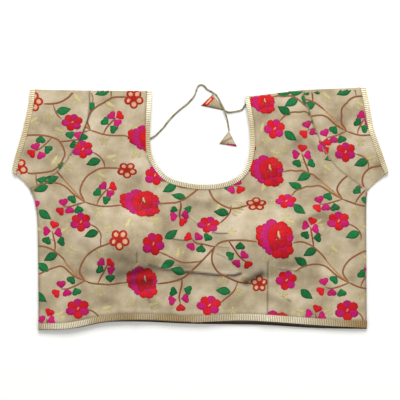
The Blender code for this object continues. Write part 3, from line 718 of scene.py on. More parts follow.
class Floss(Enum):
    """The embroidery threads: name, light colour, middle colour, dark colour, roughness, metallic."""

    RED = ("red_silk_floss", "#E01C2A", "#C40A18", "#66040A", 0.5, 0.0)
    CRIMSON = ("crimson_silk_floss", "#D0142A", "#AE0C1C", "#600410", 0.5, 0.0)
    MAGENTA = ("magenta_silk_floss", "#D41A7A", "#B40A5E", "#5C0434", 0.5, 0.0)
    GREEN = ("green_silk_floss", "#1E8448", "#0A5E2C", "#042A14", 0.5, 0.0)
    BROWN = ("brown_silk_floss", "#AC7046", "#865030", "#4A2814", 0.6, 0.0)
    TAN = ("tan_silk_floss", "#CC9C66", "#AC7C48", "#704824", 0.6, 0.0)
    BRICK = ("brick_red_silk_floss", "#C83626", "#A61E14", "#5C0C08", 0.5, 0.0)
    RUST = ("rust_silk_floss", "#A85A3C", "#863E28", "#4A1A0C", 0.55, 0.0)
    PEACH = ("peach_silk_floss", "#EACAA6", "#D09C72", "#9E623E", 0.45, 0.0)
    ZARI = ("pale_gold_zari", "#D6CA96", "#BAAC7C", "#9A8C60", 0.4, 0.1)

    def material(self) -> bpy.types.Material:
        """Makes the thread's material: glossy satin stitches side by side, darker at a patch's rim, partly
        where they dive and partly painted shade, and darkened by the painted shadows of the cloth's folds.
        """
        name, light, middle, dark, roughness, metallic = self.value
        material, shader = new_material(name, roughness, metallic=metallic, specular=0.16)
        tree = material.node_tree
        coords = stitch_map(tree)
        # Real stitches are 0.3 mm wide, drawn at 0.8 mm so that they show
        threads = bands(tree, coords, pitch_mm=0.8, distortion=1.6, detail=2.0, detail_scale=1.5)
        along = stretched(tree, coords, 900.0, 120.0, 1.0)
        streak = noise(tree, along, scale=1.0, detail=2.0, roughness=0.6)
        toned = added(tree, blended(tree, 0.3, streak, threads), attribute(tree, "tone"))
        # The rim darkens the colour: partly where the stitches dive, partly painted shade at a raised edge
        value = add_node(tree, "ShaderNodeMath", {1: -0.16}, {0: attribute(tree, "rim"), 2: toned},
                         operation="MULTIPLY_ADD")
        colour = ramp(tree, value.outputs[0], (0.16, dark), (0.46, middle), (0.72, light))
        # Painted shadow: the soft shadows of the cloth's folds darken the floss, as the shade attribute says
        darker = multiplied(tree, colour, "#5A3A34", attribute(tree, "shade"))
        tree.links.new(darker, shader.inputs["Base Color"])
        bump_into(tree, shader, threads, strength=0.55, distance=0.00018)
        return material


RED, CRIMSON, MAGENTA, GREEN, BROWN, TAN, BRICK, RUST, PEACH, ZARI = Floss


@dataclass(frozen=True)
class MetallicBraid:
    """Pale gold braid woven from flat metallic strip: bright bars with darker gaps between them, partly its
    weave and partly painted highlight and shade, flecked with painted glints.
    """

    name: str = "pale_gold_braid"
    dark: str = "#94855F"
    middle: str = "#C6BA94"
    light: str = "#F6EEDA"
    worn: str = "#AC8E5C"
    painted_shade_colour: str = "#33241A"
    roughness: float = 0.36
    bar_mm: float = 2.7

    def material(self) -> bpy.types.Material:
        """Makes the material on the strip's own map, whose u runs along it in metres."""
        material, shader = new_material(self.name, self.roughness, sheen=0.05, metallic=0.45)
        tree = material.node_tree
        coords = stitch_map(tree)
        bars = bands(tree, coords, self.bar_mm, distortion=0.5, detail=1.0)
        # Painted glints of the metal strip, mixed into its colour
        glint = noise(tree, coords, scale=420.0, detail=3.0, roughness=0.7)
        mixed = blended(tree, 0.55, bars, glint)
        colour = ramp(tree, mixed, (0.22, self.dark), (0.42, self.middle), (0.66, self.light))
        tarnish = noise(tree, object_map(tree), scale=14.0, detail=2.0)
        tint = ramp(tree, tarnish, (0.36, "#D8C8A4"), (0.46, "#F0E8D4"), (0.56, "#FFFFFF"))
        mottled = add_node(tree, "ShaderNodeMix", {0: 0.8}, {6: colour, 7: tint}, data_type="RGBA",
                           blend_type="MULTIPLY")
        golden = multiplied(tree, mottled.outputs[2], self.worn, attribute(tree, "worn"))
        # Painted shadow along the hem braid's lower edge, as the shade attribute says
        darker = multiplied(tree, golden, self.painted_shade_colour, attribute(tree, "shade"))
        tree.links.new(darker, shader.inputs["Base Color"])
        bump_into(tree, shader, bars, strength=0.5, distance=0.0003)
        return material


@dataclass(frozen=True)
class PlainCloth:
    """Plain woven cloth without a pattern: the backing, the pads' knitted face or the rolled strings."""

    name: str
    dark: str
    light: str
    roughness: float
    weave_mm: float
    bump: float = 0.4

    def material(self) -> bpy.types.Material:
        """Makes the material: matt, slightly mottled, with its threads raised."""
        material, shader = new_material(self.name, self.roughness, sheen=0.3, specular=0.25)
        tree = material.node_tree
        coords = object_map(tree)
        blotch = noise(tree, coords, scale=160.0, detail=4.0, roughness=0.6)
        colour = ramp(tree, blotch, (0.3, self.dark), (0.7, self.light))
        tree.links.new(colour, shader.inputs["Base Color"])
        bump_into(tree, shader, weave_height(tree, coords, self.weave_mm), self.bump, 0.0002)
        return material


ART_SILK = ArtSilk()
BRAID_FINISH = MetallicBraid()
BACKING = PlainCloth("beige_cotton_backing", "#A8977A", "#BFB092", 0.8, 0.8)
KNIT = PlainCloth("cream_tricot_over_foam", "#D2C6AE", "#E2D8C4", 0.85, 0.7)
# The rolled cord runs from dark olive to cream: partly its own tone, partly painted shade and highlight of
# its twist
ROLLED = PlainCloth("rolled_art_silk_cord", "#4C4229", "#B6AA82", 0.55, 0.9, 0.6)


class Wardrobe:
    """Hands out each finish's material, made once."""

    def __init__(self) -> None:
        """Starts with none made."""
        self.made: dict[object, bpy.types.Material] = {}

    def of(self, finish: ArtSilk | Floss | MetallicBraid | PlainCloth) -> bpy.types.Material:
        """Gives a finish's material."""
        if finish not in self.made:
            self.made[finish] = finish.material()
        return self.made[finish]


WARDROBE = Wardrobe()


def coordinates(mesh_edit: bmesh.types.BMesh) -> Points:
    """Reads all the vertices of a bmesh."""
    return np.array([vert.co[:] for vert in mesh_edit.verts]).reshape(-1, 3)


def set_coordinates(mesh_edit: bmesh.types.BMesh, places: Points) -> None:
    """Moves all the vertices of a bmesh."""
    for vert, place in zip(mesh_edit.verts, places.tolist()):
        vert.co = place


def middles_of(faces: Sequence[bmesh.types.BMFace]) -> Points:
    """Gives the middle of each face in plan."""
    return np.array([face.calc_center_median()[:2] for face in faces]).reshape(-1, 2)


def keep_inside(mesh_edit: bmesh.types.BMesh, outline: Points) -> None:
    """Drops the faces whose middles lie outside an outline."""
    kept = inside(middles_of(mesh_edit.faces), outline)
    lost = [face for face, stays in zip(mesh_edit.faces[:], kept) if not stays]
    bmesh.ops.delete(mesh_edit, geom=lost, context="FACES")


def cut_at(mesh_edit: bmesh.types.BMesh, spot: Points, normal: Points, dist: float = 1e-6) -> None:
    """Cuts all flat faces along the line through a spot, square to a normal."""
    everything = mesh_edit.verts[:] + mesh_edit.edges[:] + mesh_edit.faces[:]
    bmesh.ops.bisect_plane(mesh_edit, geom=everything, dist=dist, plane_co=(*spot, 0.0),
                           plane_no=(*normal, 0.0))


def cut_grid(mesh_edit: bmesh.types.BMesh, cell: float, least: float = 0.1) -> None:
    """Cuts flat faces along lines of x and y that lie cell apart.

    Args:
        mesh_edit: The flat faces.
        cell: The distance between the lines.
        least: How far the first and last line stay inside, as a share of a cell.
    """
    places = coordinates(mesh_edit)
    for axis, normal in enumerate(np.eye(2)):
        low, high = places[:, axis].min() / cell, places[:, axis].max() / cell
        for place in np.arange(math.ceil(low + least), math.floor(high - least) + 1) * cell:
            cut_at(mesh_edit, normal * place, normal)


def numbered_grid(mesh_edit: bmesh.types.BMesh, columns: int, rows: int) -> tuple[Points, Points]:
    """Adds a grid of that many columns and rows of faces and gives the column and row of each vertex."""
    bmesh.ops.create_grid(mesh_edit, x_segments=columns, y_segments=rows, size=0.5)
    column, row = np.rint((coordinates(mesh_edit)[:, :2] + 0.5) * (columns, rows)).astype(int).T
    return column, row


def map_stitches(mesh_edit: bmesh.types.BMesh, places: Points) -> None:
    """Writes the stitch map from the place on it of each vertex."""
    uv = mesh_edit.loops.layers.uv["stitch"]
    place_of = dict(zip(mesh_edit.verts, places.tolist()))
    for face in mesh_edit.faces:
        for loop in face.loops:
            loop[uv].uv = place_of[loop.vert]


def append(target: bmesh.types.BMesh, source: bmesh.types.BMesh) -> None:
    """Adds one mesh to another and frees it."""
    mesh = bpy.data.meshes.new("single")
    source.to_mesh(mesh)
    source.free()
    target.from_mesh(mesh)
    bpy.data.meshes.remove(mesh)


# Cuts beside a painted shadow line: how far round it faces are cut, how far its side cuts lie as a share
# of its reach, and how far each cut runs past the ends of its stretch
CUT_MARGIN = 0.004
CUT_SPREAD = 1.3
CUT_OVERLAP = 0.001


def cut_along(mesh_edit: bmesh.types.BMesh, line: Points, reach: float) -> None:
    """Cuts flat faces along a line and beside it, so that a narrow painted shadow or a fold stays sharp.

    Args:
        mesh_edit: The flat faces.
        line: The line that they are cut along.
        reach: How far beside it the two other cuts lie.
    """
    close = distance_to(middles_of(mesh_edit.faces), line) < reach + CUT_MARGIN
    near = [face for face, kept in zip(mesh_edit.faces[:], close) if kept]
    for start, end in zip(line[:-1], line[1:]):
        length = np.linalg.norm(end - start)
        run = (end - start) / length
        side = np.array([-run[1], run[0]])
        for offset in (0.0, -reach * CUT_SPREAD, reach * CUT_SPREAD):
            near = [face for face in near if face.is_valid]
            spans = (middles_of(near) - start) @ run
            faces = [face for along, face in zip(spans, near) if -CUT_OVERLAP < along < length + CUT_OVERLAP]
            edges = {edge for face in faces for edge in face.edges}
            verts = {vert for face in faces for vert in face.verts}
            spot = start + side * offset
            cut = bmesh.ops.bisect_plane(mesh_edit, geom=[*verts, *edges, *faces], dist=1e-5,
                                         plane_co=(*spot, 0.0), plane_no=(*side, 0.0))
            found = (item for item in cut["geom"] if isinstance(item, bmesh.types.BMFace))
            near += [face for face in found if face not in near]


def flat_face(mesh_edit: bmesh.types.BMesh, outline: Points) -> bmesh.types.BMFace:
    """Adds one flat face with that outline."""
    return mesh_edit.faces.new([mesh_edit.verts.new((x, y, 0.0)) for x, y in outline])


def extruded(mesh_edit: bmesh.types.BMesh) -> set[bmesh.types.BMVert]:
    """Extrudes all faces where they are and gives the new vertices."""
    made = bmesh.ops.extrude_face_region(mesh_edit, geom=mesh_edit.faces[:])
    return {item for item in made["geom"] if isinstance(item, bmesh.types.BMVert)}


def thicken(mesh_edit: bmesh.types.BMesh, low: Height, high: Height) -> None:
    """Gives flat faces a wall: their own points go to low and the extruded ones to high, less their z.

    Args:
        mesh_edit: The flat faces, whose z is added to high.
        low: The height of the lower face.
        high: The height of the upper face.
    """
    raised = extruded(mesh_edit)
    is_raised = np.array([vert in raised for vert in mesh_edit.verts])
    places = coordinates(mesh_edit)
    upper = places[is_raised]
    upper[:, 2] += high(upper[:, :2])
    places[is_raised] = upper
    lower = places[~is_raised]
    lower[:, 2] = low(lower[:, :2])
    places[~is_raised] = lower
    set_coordinates(mesh_edit, places)
    bmesh.ops.recalc_face_normals(mesh_edit, faces=mesh_edit.faces[:])


def make_piece(mesh_edit: bmesh.types.BMesh, name: str, finishes: Sequence[object],
               replaced: Sequence[str] = (), sharp_deg: float = 40.0) -> bpy.types.Object:
    """Turns a bmesh into a finished piece that rides on the blouse.

    Args:
        mesh_edit: The mesh, which is freed.
        name: The piece's name.
        finishes: The finishes of its material slots, in order.
        replaced: The solids that it stands for.
        sharp_deg: Edges that turn more than this stay sharp.

    Returns:
        The piece.
    """
    mesh = bpy.data.meshes.new(name)
    mesh_edit.to_mesh(mesh)
    mesh_edit.free()
    mesh.shade_smooth()
    mesh.set_sharp_from_angle(angle=math.radians(sharp_deg))
    for finish in finishes:
        mesh.materials.append(WARDROBE.of(finish))
    piece = bpy.data.objects.new(name, mesh)
    bpy.context.scene.collection.objects.link(piece)
    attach(piece, "root")
    if replaced:
        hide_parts(*replaced)
    log.info("%s: %d faces", name, len(mesh.polygons))
    return piece


def area_of(outline: Points) -> float:
    """Gives the area inside an outline, in square metres."""
    x, y = outline[:, 0], outline[:, 1]
    return float(abs(np.dot(x, np.roll(y, -1)) - np.dot(y, np.roll(x, -1))) / 2)


def plan_of(piece: bpy.types.Object) -> Points:
    """Reads a piece's vertices in plan."""
    places = np.empty(len(piece.data.vertices) * 3, np.float32)
    piece.data.vertices.foreach_get("co", places)
    return places.reshape(-1, 3)[:, :2].astype(float)


def store(piece: bpy.types.Object, name: str, values: Points) -> None:
    """Stores a value at each vertex, for the piece's material."""
    layer = piece.data.attributes.new(name, "FLOAT", "POINT")
    layer.data.foreach_set("value", values.astype(np.float32))


def paint_shade_near(piece: bpy.types.Object, lines: Sequence[tuple[Points, float, float]]) -> None:
    """Stores the shade painted into a piece's colour beside lines such as seams, folds and braid edges: each
    line comes with its reach and its strength.
    """
    xy = plan_of(piece)
    total = np.zeros(len(xy))
    for line, reach, strength in lines:
        total = np.maximum(total, strength * np.exp(-((distance_to(xy, line) / reach) ** 2)))
    store(piece, "shade", total)


# The soft lights: name, place, size and power
LAMPS = (
    ("key", (0.10, 1.75, 1.70), 1.2, 52.0),
    ("fill_left", (-1.7, -0.1, 2.0), 1.8, 9.0),
    ("fill_right", (1.7, -0.3, 2.0), 1.8, 8.0),
)


@dataclass
class Studio:
    """The camera straight above, the soft lights and the pale floor."""

    centre: tuple[float, float] = (-0.001, 0.0123)
    frame_width: float = 0.600
    height: float = 2.6
    floor_size: float = 6.0
    floor_drop: float = 0.0002
    sky_strength: float = 0.50
    sensor_mm: float = 36.0

    def build(self) -> None:
        """Makes the camera, the lights, the world and the floor."""
        data = bpy.data.cameras.new("camera")
        data.sensor_width = self.sensor_mm
        data.lens = self.sensor_mm * self.height / self.frame_width
        data.clip_end = 20.0
        camera = bpy.data.objects.new("camera", data)
        camera.location = (*self.centre, self.height)
        bpy.context.scene.collection.objects.link(camera)
        bpy.context.scene.camera = camera
        for name, place, size, power in LAMPS:
            self.lamp(name, place, size, power)
        world = bpy.data.worlds.new("studio")
        world.use_nodes = True
        sky = world.node_tree.nodes["Background"]
        sky.inputs["Color"].default_value = linear("#F4F4F2")
        sky.inputs["Strength"].default_value = self.sky_strength
        bpy.context.scene.world = world
        self.floor()

    def lamp(self, name: str, place: tuple[float, float, float], size: float, power: float) -> None:
        """Adds a square soft light that faces the blouse."""
        data = bpy.data.lights.new(name, "AREA")
        data.size = size
        data.energy = power
        lamp = bpy.data.objects.new(name, data)
        lamp.location = place
        lamp.rotation_euler = (-Vector(place)).to_track_quat("-Z", "Y").to_euler()
        bpy.context.scene.collection.objects.link(lamp)

    def floor(self) -> None:
        """Lays the pale floor just under the blouse."""
        mesh_edit = bmesh.new()
        bmesh.ops.create_grid(mesh_edit, x_segments=4, y_segments=4, size=self.floor_size / 2)
        bmesh.ops.translate(mesh_edit, verts=mesh_edit.verts, vec=(0, 0, -self.floor_drop))
        mesh = bpy.data.meshes.new("floor")
        mesh_edit.to_mesh(mesh)
        mesh_edit.free()
        material, shader = new_material("white_paper_floor", 0.9)
        shader.inputs["Base Color"].default_value = linear("#FAFAF8")
        mesh.materials.append(material)
        floor = bpy.data.objects.new("floor", mesh)
        bpy.context.scene.collection.objects.link(floor)


# A braid's bars: the step between its cross lines, how far its middle and its bars rise, and how much
# thinner than the solid it starts, which leaves room for both
BAR_STEP = 0.0012
BRAID_CROWN = 0.00012
BAR_RELIEF = 0.00010
BRAID_SETBACK = 0.00015


def strip(name: str, edge: Points, width: float, keep_left: bool, base: Height, replaced: Sequence[str],
          across: int = 5, thick: float = BRAID, finish: object = BRAID_FINISH) -> bpy.types.Object:
    """Makes a flat braid along an edge, crowned a little across its width.

    Args:
        name: The piece's name.
        edge: The edge that it follows.
        width: Its width.
        keep_left: Whether it lies to the left of the edge.
        base: The height of its underside.
        replaced: The solids that it stands for.
        across: Rows of faces across it.
        thick: Its thickness.
        finish: Its finish.

    Returns:
        The piece.
    """
    count = max(8, round(run_of(edge)[-1] / BAR_STEP))
    line = even_points(edge, count)
    mesh_edit = bmesh.new()
    mesh_edit.loops.layers.uv.new("stitch")
    column, row = numbered_grid(mesh_edit, count - 1, across)
    share = row / across
    far = inward(line, width, keep_left)
    xy = line[column] * (1 - share[:, None]) + far[column] * share[:, None]
    map_stitches(mesh_edit, np.column_stack([run_of(line)[column], share * width]))
    lift = BRAID_CROWN * np.sin(np.pi * share) + BAR_RELIEF * np.where(column % 2 == 0, 1, -1)
    set_coordinates(mesh_edit, np.column_stack([xy, lift]))
    thicken(mesh_edit, base, lambda places: base(places) + thick - BRAID_SETBACK)
    return make_piece(mesh_edit, name, [finish], replaced)


@dataclass
class Panels:
    """The front and the two halves of the back, each cut flat and laid on its surface."""

    cell: float = 0.0025
    back_cell: float = 0.0075

    def front_outline(self) -> Points:
        """Gives the front's outline, round from the left underarm."""
        return np.vstack([
            EDGES["left_armhole"][:-1],
            even_points(np.array([LEFT_SHOULDER_END, LEFT_NECK_CORNER]), 24)[:-1],
            EDGES["front_neck"][:-1],
            even_points(np.array([RIGHT_NECK_CORNER, RIGHT_SHOULDER_END]), 24)[:-1],
            EDGES["right_armhole"][:-1], EDGES["right_side"][:-1],
            EDGES["front_hem"][::-1][:-1], EDGES["left_side"][::-1][:-1],
        ])

    def back_outline(self, side: str) -> Points:
        """Gives the outline of one half of the back, from the centre-back edge round to the side."""
        neck, hem = half_edge("back_neck", side), half_edge("back_hem", side)
        if side == "left":
            return np.vstack([
                even_points(np.array([neck[-1], hem[-1]]), 22)[:-1], hem[::-1][:-1],
                EDGES["left_side"][::-1][:-1], EDGES["left_armhole"][:-1],
                even_points(np.array([LEFT_SHOULDER_END, neck[0]]), 12)[:-1], neck[:-1],
            ])
        return np.vstack([
            even_points(np.array([hem[0], neck[0]]), 22)[:-1], neck[:-1],
            even_points(np.array([neck[-1], RIGHT_SHOULDER_END]), 12)[:-1],
            EDGES["right_armhole"][:-1], EDGES["right_side"][:-1], hem[::-1][:-1],
        ])

    def build(self) -> None:
        outline = self.front_outline()
        mesh_edit = bmesh.new()
        flat_face(mesh_edit, outline)
        cut_grid(mesh_edit, self.cell)
        for reach, _, *points in PAINTED_SHADOW_LINES:
            if reach < self.cell:
                cut_along(mesh_edit, from_chart(points), reach)
        thicken(mesh_edit, DRAPE.upper, DRAPE.face)
        front = make_piece(mesh_edit, "front_cloth", [ART_SILK], ["front"])
        # Paints shade into the front's colour beside its seams and braid edges and along its folds
        paint_shade_near(front, self.seams())
        for side in ("left", "right"):
            outline = self.back_outline(side)
            mesh_edit = bmesh.new()
            flat_face(mesh_edit, outline)
            cut_grid(mesh_edit, self.back_cell)
            thicken(mesh_edit, DRAPE.floor_face, lambda xy: DRAPE.lower(xy) + CLOTH)
            back = make_piece(mesh_edit, f"back_cloth_{side}", [ART_SILK], [f"back_{side}"])
            # Paints shadow on the back's inside along its hem, under the front's hem, and shade beside its
            # seams
            paint_shade_near(back, [(EDGES["back_hem"], *BACK_HEM_SHADE), *self.seams()[:4]])

    def seams(self) -> list[tuple[Points, float, float]]:
        """Gives the lines that shade is painted beside on the cloth: seams, braid edges, darts and the
        painted shadow lines, with reach and strength.
        """
        return [
            *((EDGES[f"{side}_armhole"], *shade) for side, shade in ARMHOLE_SHADE.items()),
            (EDGES["left_side"], *SIDE_SHADE), (EDGES["right_side"], *SIDE_SHADE),
            (inward(EDGES["front_neck"], NECK_BRAID_WIDTH, False), *NECK_SHADE),
            (inward(EDGES["front_hem"], HEM_BRAID_WIDTH, True), *HEM_SHADE),
            *((from_chart([top, foot]), *DART_SHADE) for top, foot, _ in DARTS),
            *((from_chart(points), reach, strength) for reach, strength, *points in PAINTED_SHADOW_LINES),
        ]


def half_edge(name: str, side: str) -> Points:
    """Gives one half of a back edge, ending beside the centre-back opening."""
    line = EDGES[name]
    sign = -1 if side == "left" else 1
    centre = (sign * SEAM / 2, float(np.interp(0, line[:, 0], line[:, 1])))
    rest = line[sign * line[:, 0] > CENTRE_CLEARANCE]
    return np.vstack([rest, [centre]]) if side == "left" else np.vstack([[centre], rest])


@dataclass
class Sleeve:
    """One short sleeve, folded flat, with its cuff braid."""

    side: str
    across: int = 44                # points from the fold to the underarm
    along: int = 36                 # sections from the armhole to the cuff
    underarm_steps: int = 200
    turn_in: float = 0.0009         # how far from both ends a section starts to close
    roundness: float = 0.86         # how far it is open there
    map_step: float = 0.003         # metres of the stitch map from one point to the next
    cuff_across: int = 108
    cuff_along: int = 7
    cuff_setback: float = 0.0001    # how much thinner than its solid the cuff's braid starts

    def lines(self) -> list[Points]:
        """Gives its plan as matching lines from the armhole to the cuff, each from fold to underarm."""
        sign = -1 if self.side == "left" else 1
        armhole = EDGES["right_armhole"] if self.side == "right" else EDGES["left_armhole"][::-1]
        underarm = np.array(LEFT_UNDERSLEEVE if self.side == "left" else RIGHT_UNDERSLEEVE)[::-1]
        start = even_points(inward(armhole, SEAM, self.side == "right"), self.across)
        start[0] = armhole[0] + (sign * SEAM, 0)
        end = even_points(EDGES[f"{self.side}_cuff"], self.across)
        lower = even_points(catmull_rom(underarm), self.underarm_steps + 1)
        weights = np.linspace(0, 1, self.across)[:, None] ** 2
        found = []
        for share in np.linspace(0, 1, self.along):
            line = start + (end - start) * share
            found.append(line + (lower[round(share * self.underarm_steps)] - line[-1]) * weights)
        return found

    def outline(self) -> Points:
        """Gives the sleeve's outline in plan."""
        lines = self.lines()
        return np.vstack([
            lines[0], [line[-1] for line in lines[1:-1]],
            lines[-1][::-1], [line[0] for line in lines[-2:0:-1]],
        ])

    def loop(self, line: Points, out: float, low: Height, high: Height) -> Points:
        """Gives one loop round both layers, rounded at the fold and at the seam.

        Args:
            line: The section's plan, from fold to underarm.
            out: How far the loop lies outside the wall.
            low: The height of its lower side.
            high: The height of its upper side.

        Returns:
            The loop's points.
        """
        run = (line[-1] - line[0]) / np.linalg.norm(line[-1] - line[0])
        plan = line.copy()
        plan[0], plan[-1] = line[0] - run * out, line[-1] + run * out
        plan[1], plan[-2] = plan[0] + run * self.turn_in, plan[-1] - run * self.turn_in
        top, bottom = high(plan), low(plan)
        middle = (top + bottom) / 2
        for index, share in ((0, 0.0), (1, self.roundness), (-2, self.roundness), (-1, 0.0)):
            top[index] = middle[index] + (top[index] - middle[index]) * share
            bottom[index] = middle[index] - (middle[index] - bottom[index]) * share
        upper = np.column_stack([plan, top])
        lower = np.column_stack([plan, bottom])[-2:0:-1]
        return np.vstack([upper, lower])

    def tube(self, outer: list[Points], inner: list[Points], pitch: float) -> bmesh.types.BMesh:
        """Makes a tube with a wall from outer and inner loops.

        Args:
            outer: The outer skin's loops.
            inner: The inner skin's loops.
            pitch: Metres of the stitch map to one place round the loop.

        Returns:
            The mesh.
        """
        mesh_edit = bmesh.new()
        mesh_edit.loops.layers.uv.new("stitch")
        rows = np.array([*outer, *inner[::-1]])
        count, size = rows.shape[:2]
        column, row = numbered_grid(mesh_edit, size, count)
        map_stitches(mesh_edit, np.column_stack([column, row]) * pitch)
        set_coordinates(mesh_edit, rows[row % count, column % size])
        bmesh.ops.remove_doubles(mesh_edit, verts=mesh_edit.verts[:], dist=1e-6)
        bmesh.ops.recalc_face_normals(mesh_edit, faces=mesh_edit.faces[:])
        return mesh_edit

    def build(self) -> None:
        lines = self.lines()
        outer = [self.loop(line, 0.0, DRAPE.floor_face, DRAPE.face) for line in lines]
        inner = [self.loop(line, -CLOTH, lambda xy: DRAPE.lower(xy) + CLOTH, DRAPE.upper) for line in lines]
        mesh_edit = self.tube(outer, inner, self.map_step)
        piece = make_piece(mesh_edit, f"sleeve_cloth_{self.side}", [ART_SILK],
                           [f"sleeve_{self.side}"])
        # Paints shade beside the armhole's seam and inside the cuff's braid
        paint_shade_near(piece, [(EDGES[f"{self.side}_armhole"], *SLEEVE_SHADE), (lines[-3], *CUFF_SHADE)])
        2 * area_of(self.outline())
        self.cuff(lines)

    def cuff(self, lines: list[Points]) -> None:
        """Makes the braid round the cuff, over both layers and round the fold and the seam."""
        end, before = lines[-1], lines[-6]
        outer, inner = [], []
        for share in np.linspace(0, 1, self.cuff_along):
            run = before - end
            reach = np.minimum(CUFF_BRAID_WIDTH * share / np.linalg.norm(run, axis=1), 1.0)[:, None]
            line = even_points(end + run * reach, self.cuff_across)
            lift = SEAM + BRAID - self.cuff_setback + BRAID_CROWN * math.sin(math.pi * share)
            inner.append(self.loop(line, SEAM, lambda xy: DRAPE.lower(xy) - SEAM,
                                   lambda xy: DRAPE.face(xy) + SEAM))
            outer.append(self.loop(line, SEAM + BRAID, lambda xy: DRAPE.lower(xy) - SEAM - BRAID,
                                   lambda xy, rise=lift: DRAPE.face(xy) + rise))
        mesh_edit = self.tube(outer, inner, BAR_STEP)
        make_piece(mesh_edit, f"cuff_braid_bars_{self.side}", [BRAID_FINISH],
                   [f"cuff_braid_{self.side}"])


@dataclass
class Trims:
    """The braids along the neck and the hem, front and back, and the placket of the back."""

    def build(self) -> None:
        """Makes each strip where its solid lies."""
        def on_front(xy: Points) -> Points:
            """Gives the underside of a braid on the front."""
            return DRAPE.face(xy) + SEAM

        def under_back(xy: Points) -> Points:
            """Gives the underside of a braid under the back."""
            return DRAPE.lower(xy) - SEAM - BRAID

        strip("neck_braid_bars_front", EDGES["front_neck"], NECK_BRAID_WIDTH, False, on_front,
              ["neck_braid_front"])
        hem = strip("hem_braid_bars_front", EDGES["front_hem"], HEM_BRAID_WIDTH, True, on_front,
                    ["hem_braid_front"])
        browning_x = from_chart([(x, 0) for x, _ in HEM_BROWNING])[:, 0]
        store(hem, "worn", np.interp(plan_of(hem)[:, 0], browning_x, [share for _, share in HEM_BROWNING]))
        edge = EDGES["front_hem"]
        # Paints a shadow along the lower edge of the hem's braid
        paint_shade_near(hem, [(edge[edge[:, 0] < HEM_ROLL_END], *HEM_ROLL_SHADE)])
        for side in ("left", "right"):
            strip(f"neck_braid_bars_back_{side}", half_edge("back_neck", side), NECK_BRAID_WIDTH, False,
                  under_back, [f"neck_braid_back_{side}"], 3)
            strip(f"hem_braid_bars_back_{side}", half_edge("back_hem", side), HEM_BRAID_WIDTH, True,
                  under_back, [f"hem_braid_back_{side}"], 3)
        top = half_edge("back_neck", "left")[-1][1] - PLACKET_INSET
        foot = half_edge("back_hem", "left")[-1][1] + PLACKET_INSET
        edge = np.array([(-PLACKET_WIDTH / 2, top), (-PLACKET_WIDTH / 2, foot)])
        strip("placket_cloth", edge, PLACKET_WIDTH, True, lambda xy: DRAPE.lower(xy) + CLOTH + 2 * SEAM,
              ["back_placket"], 6, PLACKET_THICKNESS, BACKING)


@dataclass
class Pad:
    """One foam cup under the front: thick in the middle and thin at its rim."""

    side: str
    sectors: int = 72
    rings: int = 22

    def build(self) -> None:
        """Makes the cup from a flat disc, insetting it ring by ring, and lays it under the front."""
        cup = CUPS[self.side]
        mesh_edit = bmesh.new()
        bmesh.ops.create_circle(mesh_edit, cap_ends=True, cap_tris=False, radius=1.0,
                                segments=self.sectors)
        for ring in range(1, self.rings):
            middle = [face for face in mesh_edit.faces if len(face.verts) == self.sectors]
            bmesh.ops.inset_region(mesh_edit, faces=middle, thickness=0.0001)
            inner = middle[0].verts[:]
            scale = (1 - ring / self.rings) / np.mean([vert.co.xy.length for vert in inner])
            bmesh.ops.scale(mesh_edit, vec=(scale, scale, 1.0), verts=inner)
        middle = [face for face in mesh_edit.faces if len(face.verts) == self.sectors]
        bmesh.ops.poke(mesh_edit, faces=middle)
        places = coordinates(mesh_edit)
        half = np.where(places[:, 1] > 0, cup.half_up, cup.half_down)
        places[:, 0] = cup.x + places[:, 0] * cup.half_width
        places[:, 1] = cup.y + places[:, 1] * half
        set_coordinates(mesh_edit, places)

        def top(xy: Points) -> Points:
            """Gives the pad's upper face."""
            return DRAPE.upper(xy) - PAD_CLEARANCE

        def bottom(xy: Points) -> Points:
            """Gives the pad's lower face."""
            thick = PAD_RIM + (PAD_THICKNESS - PAD_RIM) * np.maximum(0, 1 - cup.radius(xy) ** 2)
            return top(xy) - thick

        thicken(mesh_edit, bottom, top)
        pad = make_piece(mesh_edit, f"cup_foam_{self.side}", [KNIT], [f"pad_{self.side}"])


# The strings' routes: x, y and height of the middle of the cord, from the neck's edge to the end piece
LEFT_STRING = (
    (-0.0855, 0.0985, REST), (-0.0770, 0.1035, REST), (-0.0685, 0.1085, REST), (-0.0565, 0.1203, REST),
    (-0.0470, 0.1325, REST), (-0.0345, 0.1450, REST), (-0.0190, 0.1578, REST), (-0.0100, 0.1680, REST),
    (-0.0062, 0.1775, REST), (-0.0040, 0.1830, REST), (0.0005, 0.1852, REST), (0.0055, 0.1830, REST),
    (0.0095, 0.1785, REST), (0.0165, 0.1745, REST), (0.0228, 0.1705, REST), (0.0275, 0.1632, REST),
    (0.0310, 0.1560, 0.0026), (0.0346, 0.1487, 0.0049), (0.0374, 0.1410, 0.0047), (0.0396, 0.1335, 0.0023),
    (0.0410, 0.1265, REST), (0.0424, 0.1165, REST),
)
RIGHT_STRING = (
    (0.0730, 0.1589, REST), (0.0680, 0.1565, REST), (0.0650, 0.1522, REST), (0.0625, 0.1486, REST),
    (0.0575, 0.1461, REST), (0.0500, 0.1447, REST), (0.0430, 0.1438, REST), (0.0390, 0.1446, REST),
    (0.0362, 0.1462, REST),
)


